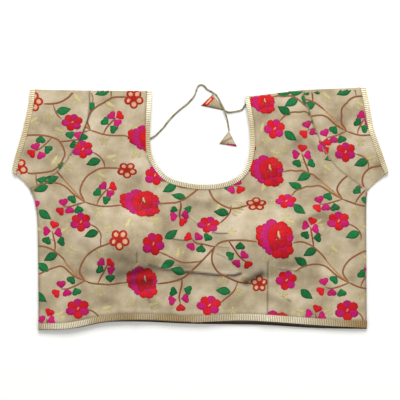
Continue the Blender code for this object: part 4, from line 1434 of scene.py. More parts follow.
@dataclass
class Tie:
    """One neck string of rolled cloth with the folded triangle that ends it.

    Its sewn bands are: thread, nearest and furthest distance from the base, and its two ends along it. Its
    folds are: reach, strength, and the two ends of the painted shadow line that each fold throws.
    """

    side: str
    route: Sequence[Sequence[float]]
    tip: tuple[float, float]
    base: tuple[tuple[float, float], tuple[float, float]]
    thick: float
    sewn: Sequence[tuple[Floss, float, float, float, float]]
    folds: Sequence[tuple]
    sectors: int = 14
    step: float = 0.0014            # from one ring of the string to the next
    roll: float = 0.55              # how far its groove turns in a step, in radians
    unevenness: float = 0.05        # of its radius, as a share
    cell: float = 0.0016
    blunt: float = 0.04             # share of the end piece's sides that its tip lacks
    rounding: float = 0.0055        # how far in from its rim it rounds up
    crease: float = 0.0008          # depth of the fold from its tip to its base
    least_height: float = 0.0010
    underside: float = 0.0001

    def build(self) -> None:
        smooth = catmull_rom(self.route, 10)
        length = float(run_of(smooth)[-1])
        path = even_points(smooth, round(length / self.step))
        string = self.sweep(path)
        end = self.end_piece()

    def sweep(self, path: Points) -> bpy.types.Object:
        """Sweeps the string's round section, creased by its roll, along its route."""
        run = np.gradient(path, axis=0)
        run /= np.linalg.norm(run, axis=1)[:, None]
        side = np.column_stack([-run[:, 1], run[:, 0], np.zeros(len(run))])
        side /= np.linalg.norm(side, axis=1)[:, None]
        up = np.cross(run, side)
        mesh_edit = bmesh.new()
        column, row = numbered_grid(mesh_edit, self.sectors, len(path) - 1)
        angle = 2 * np.pi * (column % self.sectors) / self.sectors
        groove = 1 - self.unevenness + self.unevenness * np.cos(angle - row * self.roll)
        radius = STRING_DIAMETER / 2 * groove * (1 + self.unevenness * np.sin(row * 0.21 + 0.7))
        across, lift = (radius * np.cos(angle))[:, None], (radius * np.sin(angle))[:, None]
        set_coordinates(mesh_edit, path[row] + side[row] * across + up[row] * lift)
        bmesh.ops.remove_doubles(mesh_edit, verts=mesh_edit.verts[:], dist=1e-6)
        ends = [edge for edge in mesh_edit.edges if edge.is_boundary]
        bmesh.ops.holes_fill(mesh_edit, edges=ends, sides=0)
        bmesh.ops.recalc_face_normals(mesh_edit, faces=mesh_edit.faces[:])
        return make_piece(mesh_edit, f"rolled_string_{self.side}", [ROLLED],
                          [f"string_{self.side}"])

    def end_piece(self) -> bpy.types.Object:
        """Makes the folded cloth triangle, puffed in its middle and flat under it."""
        tip = np.array(self.tip)
        first, second = (np.array(corner) for corner in self.base)
        mesh_edit = bmesh.new()
        sides = ((tip + (first - tip) * self.blunt, first), (first, second),
                 (second, tip + (second - tip) * self.blunt))
        outline = np.vstack([even_points(np.array(side), 9)[:-1] for side in sides])
        flat_face(mesh_edit, outline)
        cut_grid(mesh_edit, self.cell)
        closed = np.vstack([outline, outline[:1]])
        middle = (first + second) / 2
        mesh_edit.loops.layers.uv.new("stitch")
        map_stitches(mesh_edit, coordinates(mesh_edit)[:, :2])
        away, share, _ = nearest(middles_of(mesh_edit.faces), np.array([first, second]))
        for index, (_, near, far, low, high) in enumerate(self.sewn, 1):
            for face, gap, along in zip(mesh_edit.faces, away, share):
                if near <= gap < far and low < along < high:
                    face.material_index = index

        def top(xy: Points) -> Points:
            """Gives the puffed upper face, with the crease from the tip to the base."""
            share = np.clip(np.linalg.norm(xy - tip, axis=1) / np.linalg.norm(middle - tip), 0, 1)
            rim = distance_to(xy, closed)
            height = self.thick * (0.62 + 0.38 * share) * np.sqrt(np.clip(rim / self.rounding, 0.0, 1))
            fold = self.crease * np.exp(-((distance_to(xy, np.array([tip, middle])) / 0.0016) ** 2))
            return np.maximum(self.least_height, height - fold * (rim > 0.002))

        thicken(mesh_edit, lambda xy: np.full(len(xy), self.underside), top)
        piece = make_piece(mesh_edit, f"end_cloth_{self.side}",
                           [ART_SILK, *(row[0] for row in self.sewn)],
                           [f"end_piece_{self.side}"], 50.0)
        # Paints the shadow along each fold and edge of the end piece
        paint_shade_near(piece, [(np.array(line), reach, strength) for reach, strength, *line in self.folds])
        return piece


TIES = (
    Tie("left", LEFT_STRING, (0.04235, 0.1161), ((0.0278, 0.0965), (0.0543, 0.0925)), 0.0052,
        ((MAGENTA, 0.0, 0.0024, 0.42, 0.97), (TAN, 0.0, 0.0020, 0.05, 0.35)),
        ((0.0012, 0.75, (0.0278, 0.0965), (0.0490, 0.1068)),
         (0.0014, 0.5, (0.0400, 0.1150), (0.0300, 0.0990)))),
    Tie("right", RIGHT_STRING, (0.0358, 0.1465), ((0.0000, 0.1540), (0.0182, 0.1712)), 0.0058,
        ((RED, 0.0008, 0.0070, 0.08, 0.86), (PEACH, 0.0030, 0.0052, 0.30, 0.74)),
        ((0.0014, 0.85, (0.0000, 0.1540), (0.0358, 0.1465)),
         (0.0012, 0.5, (0.0182, 0.1712), (0.0160, 0.1690)))),
)


class Motif(Enum):
    """The kinds of motif in the embroidery's repeat."""

    LARGE = "large flower"
    RING = "ring flower"
    SMALL = "small flower"
    RED_HEART = "red heart"
    MAGENTA_HEART = "magenta heart"
    GREEN_HEART = "green heart"
    LEAF = "leaf"
    ZARI_LEAF = "gold leaf"
    ZARI_CURL = "gold curl"


LARGE, RING, SMALL, RED_HEART, MAGENTA_HEART, GREEN_HEART, LEAF, ZARI_LEAF, ZARI_CURL = Motif


# Lobes of a large flower in chart steps from its middle: x, y, half width, half height, turn in degrees,
# thread and layer
LARGE_LOBES = (
    (-14.2, -8.8, 5.0, 5.0, 0, RED, 0), (-15.0, -2.4, 4.4, 4.6, 0, RED, 0),
    (-13.4, 3.2, 4.0, 4.2, 0, CRIMSON, 0), (-3.0, -14.6, 5.8, 5.2, 10, MAGENTA, 1),
    (-8.6, -10.0, 5.6, 5.8, 30, MAGENTA, 1), (-10.4, -3.0, 5.2, 6.2, 0, MAGENTA, 1),
    (-9.0, 4.6, 5.2, 6.0, -20, MAGENTA, 1), (-4.2, 10.2, 5.6, 5.4, 0, MAGENTA, 1),
    (8.6, 8.6, 6.0, 5.4, 0, MAGENTA, 1), (12.8, 5.4, 5.0, 5.6, 0, CRIMSON, 1),
    (14.2, -1.6, 5.0, 5.4, 0, MAGENTA, 1), (2.6, 14.2, 5.6, 5.0, 0, RED, 2),
    (9.6, 14.0, 5.8, 5.6, 0, CRIMSON, 2), (15.0, 11.2, 4.4, 4.4, 0, RED, 2),
    (12.6, -6.4, 5.6, 6.2, 0, RED, 2), (7.2, -11.6, 6.4, 5.8, 20, RED, 2),
    (1.4, -10.4, 4.4, 5.4, 0, RED, 3), (-2.6, -4.0, 4.8, 9.4, 8, RED, 3),
    (-1.2, 6.0, 4.6, 6.0, 0, CRIMSON, 3), (7.2, 1.6, 5.4, 7.6, 0, CRIMSON, 3),
    (8.4, -5.6, 4.8, 5.0, 0, RED, 4), (4.2, -4.2, 1.3, 4.8, -12, ZARI, 5),
    (5.8, -0.6, 0.9, 2.6, -20, GREEN, 5),
)

# The small flower's petals, magenta and red by turns: direction in degrees, distance and size
SMALL_PETALS = (
    (72, 5.6, 3.9), (18, 6.2, 4.1), (-42, 6.0, 3.9), (-104, 5.6, 4.0), (182, 6.2, 4.1), (126, 5.8, 3.8),
)

# How far a ring flower's petals lie from its middle, in chart steps
RING_REACH = 5.6

# Motifs of the repeat's two halves, in chart steps from where their vines fork: kind, x, y and turn in
# degrees; a heart has no turn, because it points at its nearest vine
UNIT_A = (
    (LARGE, 56, 1, 0), (RING, 43, -31, 0), (SMALL, -62, -2, 0), (SMALL, -3, 21, 18),
    (MAGENTA_HEART, 20, -15), (RED_HEART, 28.6, -15), (MAGENTA_HEART, 26, -7.6),
    (GREEN_HEART, 13.4, -9.2), (GREEN_HEART, 22.4, -1.6), (MAGENTA_HEART, -20, 1), (RED_HEART, -23, 10),
    (MAGENTA_HEART, -13, 8), (GREEN_HEART, -11, -2), (GREEN_HEART, -5, 8), (RED_HEART, -37, -61),
    (MAGENTA_HEART, -43, -56), (MAGENTA_HEART, -32.6, -53), (GREEN_HEART, -43.2, -47),
    (GREEN_HEART, -30.6, -44.6), (LEAF, -39, -30, 207), (LEAF, -48, -22, 146), (LEAF, -44, 8, -38),
    (LEAF, 2.6, 32, 198), (ZARI_LEAF, 18, -26, -30), (ZARI_LEAF, 47, -8, 12), (ZARI_LEAF, -15, -35, -40),
    (ZARI_CURL, 14, 11, 0), (ZARI_LEAF, 22, 26, 14), (ZARI_CURL, -62, -23, 40), (ZARI_LEAF, 44, 22, 60),
    (ZARI_CURL, 70, -20, 10), (ZARI_LEAF, -24, 24, 25), (ZARI_LEAF, -52, 22, -20),
)
UNIT_B = (
    (LARGE, 58, -8, 0), (RING, 43, 38, 180), (SMALL, -60, -3, 30), (SMALL, -7, -22, 0),
    (GREEN_HEART, 24.6, -1), (GREEN_HEART, 15.6, 9), (MAGENTA_HEART, 28.4, 7), (MAGENTA_HEART, 22, 16.6),
    (RED_HEART, 32.6, 17.6), (GREEN_HEART, -7.4, -8.4), (GREEN_HEART, -14.2, 3.6),
    (MAGENTA_HEART, -16.6, -8.4), (MAGENTA_HEART, -24.2, 0.6), (RED_HEART, -27.2, -8.4),
    (GREEN_HEART, -42, 44.6), (GREEN_HEART, -27.2, 44), (MAGENTA_HEART, -43.4, 53),
    (MAGENTA_HEART, -29.8, 51.6), (RED_HEART, -34.6, 61), (LEAF, -47.6, 19.4, 205),
    (LEAF, -37.6, 25.6, 162), (LEAF, -44, -11, 34), (LEAF, 6, -33, 172), (ZARI_LEAF, -38, 8, 80),
    (ZARI_CURL, 17, -14, 0), (ZARI_LEAF, 51, 11, 75), (ZARI_CURL, 57, 25, 90), (ZARI_CURL, 68, -30, 0),
    (ZARI_LEAF, 6, 34, 60), (ZARI_LEAF, 30, 34, -20), (ZARI_LEAF, -62, -22, 15),
    (ZARI_LEAF, 22, -34, -35), (ZARI_LEAF, -78, 22, 40),
)

# Vines of the two halves: thread, width as a share of the widest, then the places that it runs through
VINES_A = (
    (BROWN, 1.0, (0, 0), (-4, -11), (1, -23), (10, -30), (19, -33), (36, -33)),
    (BROWN, 0.9, (0, 0), (13, 4), (24, 5), (38, 3.5)),
    (BROWN, 0.9, (12.4, 3.4), (15, -2.6), (20, -8.4), (25, -13)),
    (BROWN, 0.8, (0, 0), (-10, 4), (-19, 5.6)),
    (BROWN, 0.9, (-56, -40), (-47, -40.5), (-37.6, -37), (-27.4, -28.8), (-20, -21)),
    (TAN, 0.85, (-23, -24), (-13.4, -14.5), (-6, -6.5), (0, 0)),
    (RUST, 0.9, (-35, -35), (-36, -44), (-38, -55)), (TAN, 0.6, (-37, -46), (-42, -49)),
    (BROWN, 0.9, (-53.6, -11.7), (-44, -17.2), (-31.3, -18.6), (-19.8, -15.4), (-9.6, -7), (0, 0)),
    (BROWN, 0.8, (4, 22.5), (9.5, 26), (13.6, 32), (14.6, 38)),
)
VINES_B = (
    (BROWN, 1.0, (0, 0), (5, -4), (15, -6.4), (28, -7), (41, -5)),
    (BROWN, 1.0, (0, 0), (-2.6, 7), (-3, 15), (0, 23), (4, 28), (14, 34), (22, 37), (36, 38)),
    (RUST, 0.9, (13.6, -5.6), (19, 2), (24, 9), (31, 15)),
    (RUST, 0.8, (0, 0), (-11.3, -1.4), (-17.6, -1.8), (-24, -6)),
    (BROWN, 1.0, (0, 0), (-14, 16), (-26, 27.4), (-34, 33), (-46, 36), (-58, 38)),
    (RUST, 0.95, (-33.4, 33), (-33.6, 39), (-36, 49), (-35, 56)),
    (BROWN, 0.9, (-55, 6), (-42, 13.8), (-31.6, 17.2), (-16, 16)),
    (RUST, 0.8, (3, -22), (12, -29), (16, -34), (18, -40)), (BROWN, 0.8, (-14, 2), (-11.6, -2)),
)

# Where the forks lie: x, y, then the width and height of its large flower as shares
FORKS_A = (
    (91, 60, 1.0, 0.9), (91, 130.5, 0.95, 0.68), (85.3, 201, 1.04, 0.69), (85.3, 280.5, 0.8, 0.82),
    (85.3, 361, 1.0, 0.9), (326.6, 123.4, 1.0, 0.85), (341, 198.4, 1.0, 0.9), (348, 283.3, 1.0, 0.9),
    (348, 364, 1.0, 0.9),
)
FORKS_B = (
    (203.5, 111, 0.66, 0.55), (213, 172, 0.9, 0.8), (215.3, 245, 0.98, 1.0), (215.3, 325, 0.9, 0.8),
)
RIGHT_SLEEVE_FORKS = ((346, 60, 1.0, 0.9), (346.3, 131.3, 1.0, 0.85))
FIRST_FORK_LEAST_X = 30     # the top fork lies in the neck, so only its right part is sewn

# Motifs that a fold of the cloth foreshortens: x, y, then their width and height as shares
FORESHORTENED = (
    (256, 204, 1.05, 0.68), (285.7, 201, 1.0, 0.72), (83, 149.5, 1.0, 0.9), (72.5, 122.5, 1.0, 0.86),
    (127.2, 170.3, 1.02, 0.82), (153.6, 243.8, 1.08, 1.14), (120.4, 239.2, 1.05, 1.08),
    (173.9, 209.6, 0.95, 0.7), (188.2, 209.1, 0.95, 0.7), (178.6, 196.5, 1.0, 0.8),
    (208.4, 224.6, 1.04, 0.82), (259, 283.3, 0.86, 0.86), (78, 308.4, 1.16, 1.0),
    (337.9, 221, 1.1, 0.95), (346.7, 310.4, 1.16, 1.04), (209, 305, 1.15, 1.0), (81, 221.9, 1.0, 0.96),
    (295, 185.8, 1.05, 0.8),
)
FORESHORTENED_REACH = 4.0

# How the cloth's hang shifts the repeat: x, y, then the shift in x and y
SHIFTS = (
    (93.6, 92, 9, 0.5), (134, 99.5, 0, -0.5), (88, 151.5, -5, -2), (104.4, 121.3, 0.8, 0.2),
    (147, 131.5, -1, 7.5), (93.6, 162.5, 0, 0), (141.3, 202, -1.5, 1), (128.3, 170, -1, 0.3),
    (82.3, 222, -1.3, 0), (105.3, 186, -2, 0), (113.9, 186, -0.8, 0.5), (98.7, 191.8, -1, 0.5),
    (65.3, 202, -1.5, 0), (62.3, 211, -1.7, 0), (72.3, 209, -2.3, 1.2), (74.3, 199, -1.7, 0),
    (41.3, 209, 4.2, 5.6), (87.9, 233, 4, 1), (141.3, 281.5, 0.7, 0.5), (128.3, 249.5, -8, -10.3),
    (82.3, 301.5, -4.3, 7), (105.3, 265.5, -3.7, -3.5), (113.9, 265.5, -3.4, -3.2),
    (111.3, 272.9, 0, -3.2), (98.7, 271.3, 1.7, -2.3), (107.7, 278.9, 3, -1), (65.3, 281.5, -3.8, 2.3),
    (62.3, 290.5, -6, 2.5), (72.3, 288.5, -5, 4.2), (74.3, 278.5, -2.6, 1.2), (80.3, 288.5, -3.5, 3),
    (48.3, 219.5, 6.4, 5), (42.3, 224.5, 4.5, 6.5), (52.7, 227.5, 6, 5), (42.1, 233.5, 5, 7),
    (54.7, 235.9, 7, 5.5), (46.3, 250.5, 4.6, 6.7), (37.3, 258.5, 5, 8.5), (41.3, 288.5, -0.3, 8.5),
    (85.3, 280.5, 0, 0), (85.3, 201, 0, 1), (48.3, 300, 1.7, 12), (42.3, 305, -1, 14),
    (52.7, 308, -0.8, 12), (264.6, 121.4, 9.7, 7.6), (287.6, 93.4, 3.5, 9.7), (278.6, 101.4, 5, 9.4),
    (282.6, 131.4, 8, 4.6), (279.6, 82.9, 1.4, 13.5), (299.2, 94.6, 2.8, 8.4), (306.8, 108, 0, 4.6),
    (323.6, 144.4, 4, 1), (303.6, 133.4, 0, 0), (311.6, 131.4, 0, 0), (306.6, 124.4, 0, 0),
    (279, 196.4, 6.7, 4.6), (338, 219.4, 0, 1.6), (354.4, 189.2, 2.5, 1), (363.4, 196.8, 2.4, 3),
    (321, 199.4, -2.2, 0), (318, 208.4, -1, -0.6), (328, 206.4, -2.6, 1), (330, 196.4, -2.4, 0),
    (336, 206.4, -1.4, 1), (304, 137.4, -2, 11.3), (298, 142.4, -2.7, 12.2), (308.4, 145.4, -1, 10),
    (297.8, 151.4, -1, 12), (310.4, 153.8, 0.5, 9.6), (302, 168.4, 1.8, 8.7), (293, 176.4, 1.8, 9.4),
    (297, 206.4, 2.2, 2.7), (286, 281.3, 0, -1.2), (345, 304.3, 1.7, 6), (328, 284.3, -4.5, -3.2),
    (325, 293.3, -4.8, -2.6), (335, 291.3, -3.6, 1.2), (337, 281.3, -3.3, -2), (343, 291.3, -1.7, 1.6),
    (311, 222.3, 1.2, -1.5), (305, 227.3, 0, -2), (315.4, 230.3, -0.4, -1.6), (304.8, 236.3, 0, -1.5),
    (309, 253.3, 0.7, -1), (300, 261.3, 0, 0), (311, 303, 6, 5.2), (305, 308, 3.4, 5.3),
    (315.4, 311, 6.4, 4.8), (343.6, 230.4, 8.8, 4.8), (271, 164, -5, 7), (256, 210, 0, -6),
    (153, 169, 2, 6.5), (228.6, 181, -2.6, 4.5), (241.4, 179, -4.5, 2.6), (235, 188.6, -4, 1),
    (245.6, 189.6, -5.4, 0), (171.3, 234, 0, 0.2), (188.1, 236.6, 0, 0.4), (198.7, 236.6, -0.5, 0),
    (191.1, 245.6, 0, 0.7), (285, 158.4, -2, 13.4), (294, 157.9, 1, 13.2), (303.4, 161.4, 3, 11),
    (313.6, 169.6, 1, 6.4), (321, 177.4, 0, 3.6), (287.4, 186.7, 3.4, 9), (297, 181.2, 1, 8.2),
    (309.7, 179.8, -0.7, 6.7), (321.2, 183, 1, 4), (270.6, 83.4, 0.6, 14), (273, 111.7, 6.6, 9),
    (295.3, 104.8, 1.2, 7.4), (261.5, 103, 0.5, 0), (171, 216.6, 3, -7), (185.8, 216, 2.4, -7),
    (178.4, 233, 4.5, -11.5), (169.6, 225, 4, -8.7), (183.2, 223.6, 2.2, -9), (165.4, 191.4, 4.2, -2.6),
    (175.4, 197.6, 3.2, -1), (157, 209, 1, -6), (179, 205.5, 1, -4), (273.3, 237, 0.7, 1.7),
    (258.3, 283, 0.7, 0.3), (155.3, 242, -1.7, 1.8), (208.3, 223, 0, 1.6), (239.9, 244, 0, 2),
    (230.9, 254, -0.8, 1.3), (243.7, 252, 0, 2.6), (237.3, 261.6, -0.8, 1.3), (215.3, 245, -0.5, 1.5),
    (171.9, 298, 0, 2.3), (208.3, 303, 0.7, 2), (221.3, 292, 1.7, -1), (233.3, 285, 3, 0),
    (273.3, 317, 2, 9), (346, 131.3, 0, 0), (341, 198.4, 1, 0.7), (348, 283.3, 0.6, -0.8),
    (366, 116.3, -5.7, -1), (359.4, 122.1, -2.3, 0.2), (372, 123.7, -4.7, -1.7), (374.6, 116.3, -7, -2),
    (326.3, 132.3, -2, 0.5), (335.3, 129.3, -2, 0.7), (343.3, 152.3, 1.6, 0), (348.9, 163.3, 12, 0),
    (343, 81, -14, -1), (348.6, 92, -5, 0.5), (342.3, 120, -1.5, 0), (347.3, 108, -5, -1),
    (356.3, 101, -5, -3),
)
SHIFT_REACH = 19.0
SHIFT_FLOOR = 0.002

# The left sleeve's own stretch of the repeat, at its places in the chart
LEFT_SLEEVE_MOTIFS = (
    (RING, 33.5, 102, 20), (SMALL, 72.5, 122.5, 0), (RING, 18.5, 168, 0), (GREEN_HEART, 41, 140),
    (MAGENTA_HEART, 36, 146.5), (GREEN_HEART, 48.5, 149.5), (MAGENTA_HEART, 41.5, 155.5),
    (RED_HEART, 32, 153.5), (GREEN_HEART, 70.5, 135), (MAGENTA_HEART, 78.5, 135),
    (GREEN_HEART, 83.5, 136.8), (GREEN_HEART, 74.5, 144.8), (LEAF, 64, 110.4, 10),
    (LEAF, 43.5, 181, 170), (LEAF, 51, 179, 20), (LEAF, 41.5, 189, 200), (GREEN_HEART, 62, 166.5),
    (ZARI_LEAF, 78, 98.5, -50), (ZARI_CURL, 50, 118, 0), (ZARI_LEAF, 34, 120, 30),
    (ZARI_LEAF, 55, 160, 60), (ZARI_LEAF, 60, 130, -20),
)
LEFT_SLEEVE_VINES = (
    (BROWN, 1.0, (44, 104), (52, 104), (60, 102.5), (68, 98), (73.5, 92), (78, 86)),
    (BROWN, 0.8, (53.5, 105), (57, 114), (62, 119.5)),
    (BROWN, 0.8, (36.4, 174.4), (36.6, 180.8), (38.3, 186)),
    (BROWN, 1.0, (18, 139), (28, 135.5), (43, 135.5), (54, 138), (60, 141.5), (65, 152), (63.5, 159),
     (58, 167), (50, 171.5), (32, 173.5), (27, 172)),
    (RUST, 0.8, (60, 141.8), (69, 141), (79, 139.4), (90, 136)),
    (RUST, 0.7, (52, 138), (46, 144), (40, 149), (35, 151)),
)

# What the front has beside the repeat: a sprig by the right armhole, leaves, and twigs that join vines
FRONT_MOTIFS = (
    (RED_HEART, 305.4, 92), (MAGENTA_HEART, 311, 94), (GREEN_HEART, 304.8, 100),
    (GREEN_HEART, 315, 100.4), (GREEN_HEART, 311, 112), (LEAF, 284.5, 92.5, 5), (LEAF, 296, 91.4, 0),
    (GREEN_HEART, 91.5, 106), (MAGENTA_HEART, 35.5, 204), (LARGE, 384.2, 228, 0), (LEAF, 52, 179.2, 20),
    (LEAF, 41.3, 188.8, 200),
)
FRONT_VINES = (
    (RUST, 0.8, (236, 286), (237.2, 283.4), (236.8, 281.2)),
    (BROWN, 0.8, (197.4, 261.7), (199.6, 261.2), (201, 259.6)),
    (RUST, 0.8, (101.2, 238.6), (101.6, 242), (101.3, 245.6)),
    (BROWN, 0.8, (121.6, 282.6), (125, 282.4), (128.6, 282)),
    (TAN, 0.6, (311.4, 112), (310.6, 118), (312, 124), (317, 136)),
    (RUST, 0.8, (302, 88), (307, 98), (310.5, 108)), (RUST, 0.7, (291.5, 90), (291.5, 98)),
    (BROWN, 0.6, (89.5, 91), (93, 97), (92.5, 105)), (BROWN, 0.8, (35.8, 206), (36.4, 213), (39, 213)),
)

# What the right sleeve has beside the repeat
RIGHT_SLEEVE_MOTIFS = (
    (MAGENTA_HEART, 321.5, 145.6), (RED_HEART, 325, 150),
)
RIGHT_SLEEVE_VINES = (
    (BROWN, 1.0, (384, 165.5), (377, 166.3), (369.4, 168.3), (363.3, 174.6), (362.2, 183), (366.6, 190)),
    (RUST, 0.6, (321, 141), (323, 146), (327, 152)),
)


def lobed(half_width: float, half_height: float, turn_deg: float, lobes: int = 0,
          depth: float = 0.0) -> Points:
    """Gives an oval outline in chart steps, its edge scalloped if lobes is more than 0."""
    angle = np.linspace(0, 2 * np.pi, 28, endpoint=False)
    radius = 1 + depth * np.abs(np.cos(angle * lobes / 2)) - depth / 2 if lobes else np.ones(len(angle))
    oval = np.column_stack([half_width * radius * np.cos(angle), half_height * radius * np.sin(angle)])
    return turned(oval, turn_deg)


def heart_outline(width: float) -> Points:
    """Gives a heart's outline in chart steps, its point towards +x."""
    t = np.linspace(0, 2 * np.pi, 26, endpoint=False)
    x = 15.5 * np.sin(t) ** 3 + 0.8 * np.sin(t)
    y = 13.5 * np.cos(t) - 3.4 * np.cos(2 * t) - 1.2 * np.cos(3 * t) - 0.4 * np.cos(4 * t)
    return np.column_stack([-y, x])[::-1] * (width / 32)


def leaf_outline(length: float, width: float) -> Points:
    """Gives a pointed leaf's outline in chart steps, its tip towards +x and fuller on one side."""
    share = np.linspace(0, 1, 13)
    bulge = np.sin(np.pi * share ** 0.80) ** 1.10
    back = np.column_stack([(share - 0.5) * length, 0.56 * width * bulge])
    belly = np.column_stack([(share - 0.5) * length, -0.44 * width * bulge])[::-1][1:-1]
    return np.vstack([back, belly])[::-1]


# A patch's rim: its height as a share of the middle's, and how far in its inner line lies as a share of
# the stretch that rounds up
EDGE_SHARE = 0.25
INSET_SHARE = 0.45

# Layer of a large flower's lobes that are plain slim stitches, not scalloped petals
PLAIN_LAYER = 5

# Starts the random tones of the motifs and vines, the same each run
SEED = 7


class Chart:
    """The embroidery's motifs, each made once as a flat patch and then set wherever the chart has it."""

    def __init__(self) -> None:
        """Makes the template of each motif."""
        self.flosses = list(Floss)
        self.random = np.random.default_rng(SEED)
        self.templates: dict[Motif, bpy.types.Mesh] = {}
        self.reach: dict[Motif, float] = {}
        makers = {
            LARGE: self.large, RING: self.ring, SMALL: self.small, RED_HEART: partial(self.heart, RED),
            MAGENTA_HEART: partial(self.heart, MAGENTA), GREEN_HEART: partial(self.heart, GREEN),
            LEAF: self.leaf, ZARI_LEAF: self.zari_leaf, ZARI_CURL: self.zari_curl,
        }
        for motif, maker in makers.items():
            mesh_edit = maker()
            mesh = bpy.data.meshes.new("template")
            mesh_edit.to_mesh(mesh)
            self.reach[motif] = float(np.hypot(*coordinates(mesh_edit)[:, :2].T).max())
            mesh_edit.free()
            self.templates[motif] = mesh

    @staticmethod
    def blank() -> bmesh.types.BMesh:
        """Starts a mesh with the layers that the stitches carry."""
        mesh_edit = bmesh.new()
        mesh_edit.loops.layers.uv.new("stitch")
        mesh_edit.verts.layers.float.new("rim")
        mesh_edit.verts.layers.float.new("tone")
        mesh_edit.verts.layers.float.new("height")
        return mesh_edit

    def patch(self, target: bmesh.types.BMesh, outline: Points, middle: tuple[float, float], floss: Floss,
              relief: float, base: float = 0.0, stitch_deg: float = 0.0, cell: float = 0.0024,
              soft: float = 0.0016) -> None:
        """Adds one flat patch of stitches, its z being how far it will stand off the cloth.

        Args:
            target: The mesh that it goes into.
            outline: Its outline in chart steps, x to the right and y down.
            middle: Where its middle lies, in chart steps.
            floss: Its thread.
            relief: How far its middle stands off its base.
            base: How far its base stands off the cloth.
            stitch_deg: The direction that its threads run in.
            cell: Size of its faces.
            soft: How far in from its edge it rounds up.
        """
        places = (outline + np.array(middle)) * (PIXEL, -PIXEL)
        mesh_edit = self.blank()
        flat_face(mesh_edit, places)
        bmesh.ops.inset_region(mesh_edit, faces=mesh_edit.faces[:], thickness=soft * INSET_SHARE)
        cut_grid(mesh_edit, cell)
        bmesh.ops.recalc_face_normals(mesh_edit, faces=mesh_edit.faces[:])
        flat = coordinates(mesh_edit)[:, :2]
        full = smooth_step(0, soft, distance_to(flat, np.vstack([places, places[:1]])))
        rim_layer = mesh_edit.verts.layers.float["rim"]
        # The rim value darkens the colour towards the edge: partly where the stitches dive, partly painted
        # shade
        for vert, share in zip(mesh_edit.verts, full):
            vert.co.z = base + relief * (EDGE_SHARE + (1 - EDGE_SHARE) * share)
            vert[rim_layer] = 1 - share
        map_stitches(mesh_edit, turned(flat, -stitch_deg))
        for face in mesh_edit.faces:
            face.material_index = self.flosses.index(floss)
        append(target, mesh_edit)

    def large(self) -> bmesh.types.BMesh:
        """Makes a large flower of overlapping scalloped lobes round a gold crescent."""
        target = self.blank()
        for index, (x, y, half_width, half_height, turn, floss, layer) in enumerate(LARGE_LOBES):
            plain = layer == PLAIN_LAYER
            outline = lobed(half_width, half_height, turn, 0 if plain else 7, 0.10)
            away = math.degrees(math.atan2(-y, x))
            self.patch(target, outline, (x, y), floss, 0.0005 if plain else RELIEF * 0.75,
                       layer * 0.00016 + index * 0.00001, away + 90, 0.0026, 0.0009 if plain else 0.0022)
        return target

    def small(self) -> bmesh.types.BMesh:
        """Makes a small flower of six petals, red and magenta by turns, with a peach eye."""
        target = self.blank()
        for index, (angle, away, size) in enumerate(SMALL_PETALS):
            petal = lobed(size * 1.10, size * 1.04, -angle, 9, 0.13)
            self.patch(target, petal, spoke(angle, away), RED if index % 2 else MAGENTA, RELIEF * 0.8,
                       0.00010 * (index % 3), angle + 90, 0.0022, 0.0019)
        self.patch(target, lobed(3.4, 2.8, 30, 4, 0.2), (0, 0), RED, RELIEF * 0.6, 0.00035, 60, 0.0022)
        self.patch(target, lobed(0.6, 1.7, 40), (0.3, -0.2), PEACH, 0.0004, 0.0008, 0, 0.0022, 0.0008)
        return target

    def ring(self) -> bmesh.types.BMesh:
        """Makes a ring flower: five petals outlined in brick red and filled with peach."""
        target = self.blank()
        for index in range(5):
            angle = 72 * index - 90
            self.patch(target, lobed(4.4, 4.1, -angle), spoke(angle, RING_REACH), BRICK, RELIEF * 0.8,
                       0.00004 * index, angle, soft=0.0012)
            self.patch(target, lobed(2.7, 2.4, -angle), spoke(angle, RING_REACH * 1.02), PEACH,
                       RELIEF * 0.35, RELIEF * 0.72, angle, soft=0.0012)
        self.patch(target, lobed(2.0, 2.0, 0, 5, 0.1), (0, 0), BRICK, RELIEF * 0.7, 0.0004, 0, 0.0022)
        return target

    def heart(self, floss: Floss) -> bmesh.types.BMesh:
        """Makes one heart-shaped petal or leaf of a sprig."""
        target = self.blank()
        self.patch(target, heart_outline(9.6), (0, 0), floss, RELIEF * 0.85, soft=0.0018)
        return target

    def leaf(self) -> bmesh.types.BMesh:
        """Makes a pointed leaf of slanting stitches."""
        target = self.blank()
        self.patch(target, leaf_outline(15.6, 8.4), (0, 0), GREEN, RELIEF * 0.8, 0, 60, soft=0.0018)
        return target

    def zari_leaf(self) -> bmesh.types.BMesh:
        """Makes a slim gold leaf with a smaller one beside it."""
        target = self.blank()
        for length, width, middle in ((12.5, 4.4, (0, 0)), (7.0, 2.8, (1.4, 4.8))):
            self.patch(target, leaf_outline(length, width), middle, ZARI, ZARI_RELIEF, 0, 45, 0.003, 0.001)
        return target

    def zari_curl(self) -> bmesh.types.BMesh:
        """Makes a gold rosette of small dots round one in the middle."""
        target = self.blank()
        for index in range(5):
            angle = 72 * index + 20
            self.patch(target, lobed(1.7, 1.2, -angle), spoke(angle, 3.1), ZARI, ZARI_RELIEF, 0, 20,
                       0.003, 0.0009)
        self.patch(target, lobed(1.1, 1.1, 0), (0, 0), ZARI, ZARI_RELIEF, 0, 20, 0.003, 0.0009)
        return target


def shifted(chart_xy: Points) -> Points:
    """Shifts places in the chart as the cloth's hang does."""
    rows = np.array(SHIFTS, float)
    away = ((chart_xy[:, None, :] - rows[None, :, :2]) ** 2).sum(axis=2)
    weight = np.exp(-away / SHIFT_REACH ** 2) / (1 + away)
    return chart_xy + (weight @ rows[:, 2:]) / (weight.sum(axis=1) + SHIFT_FLOOR)[:, None]


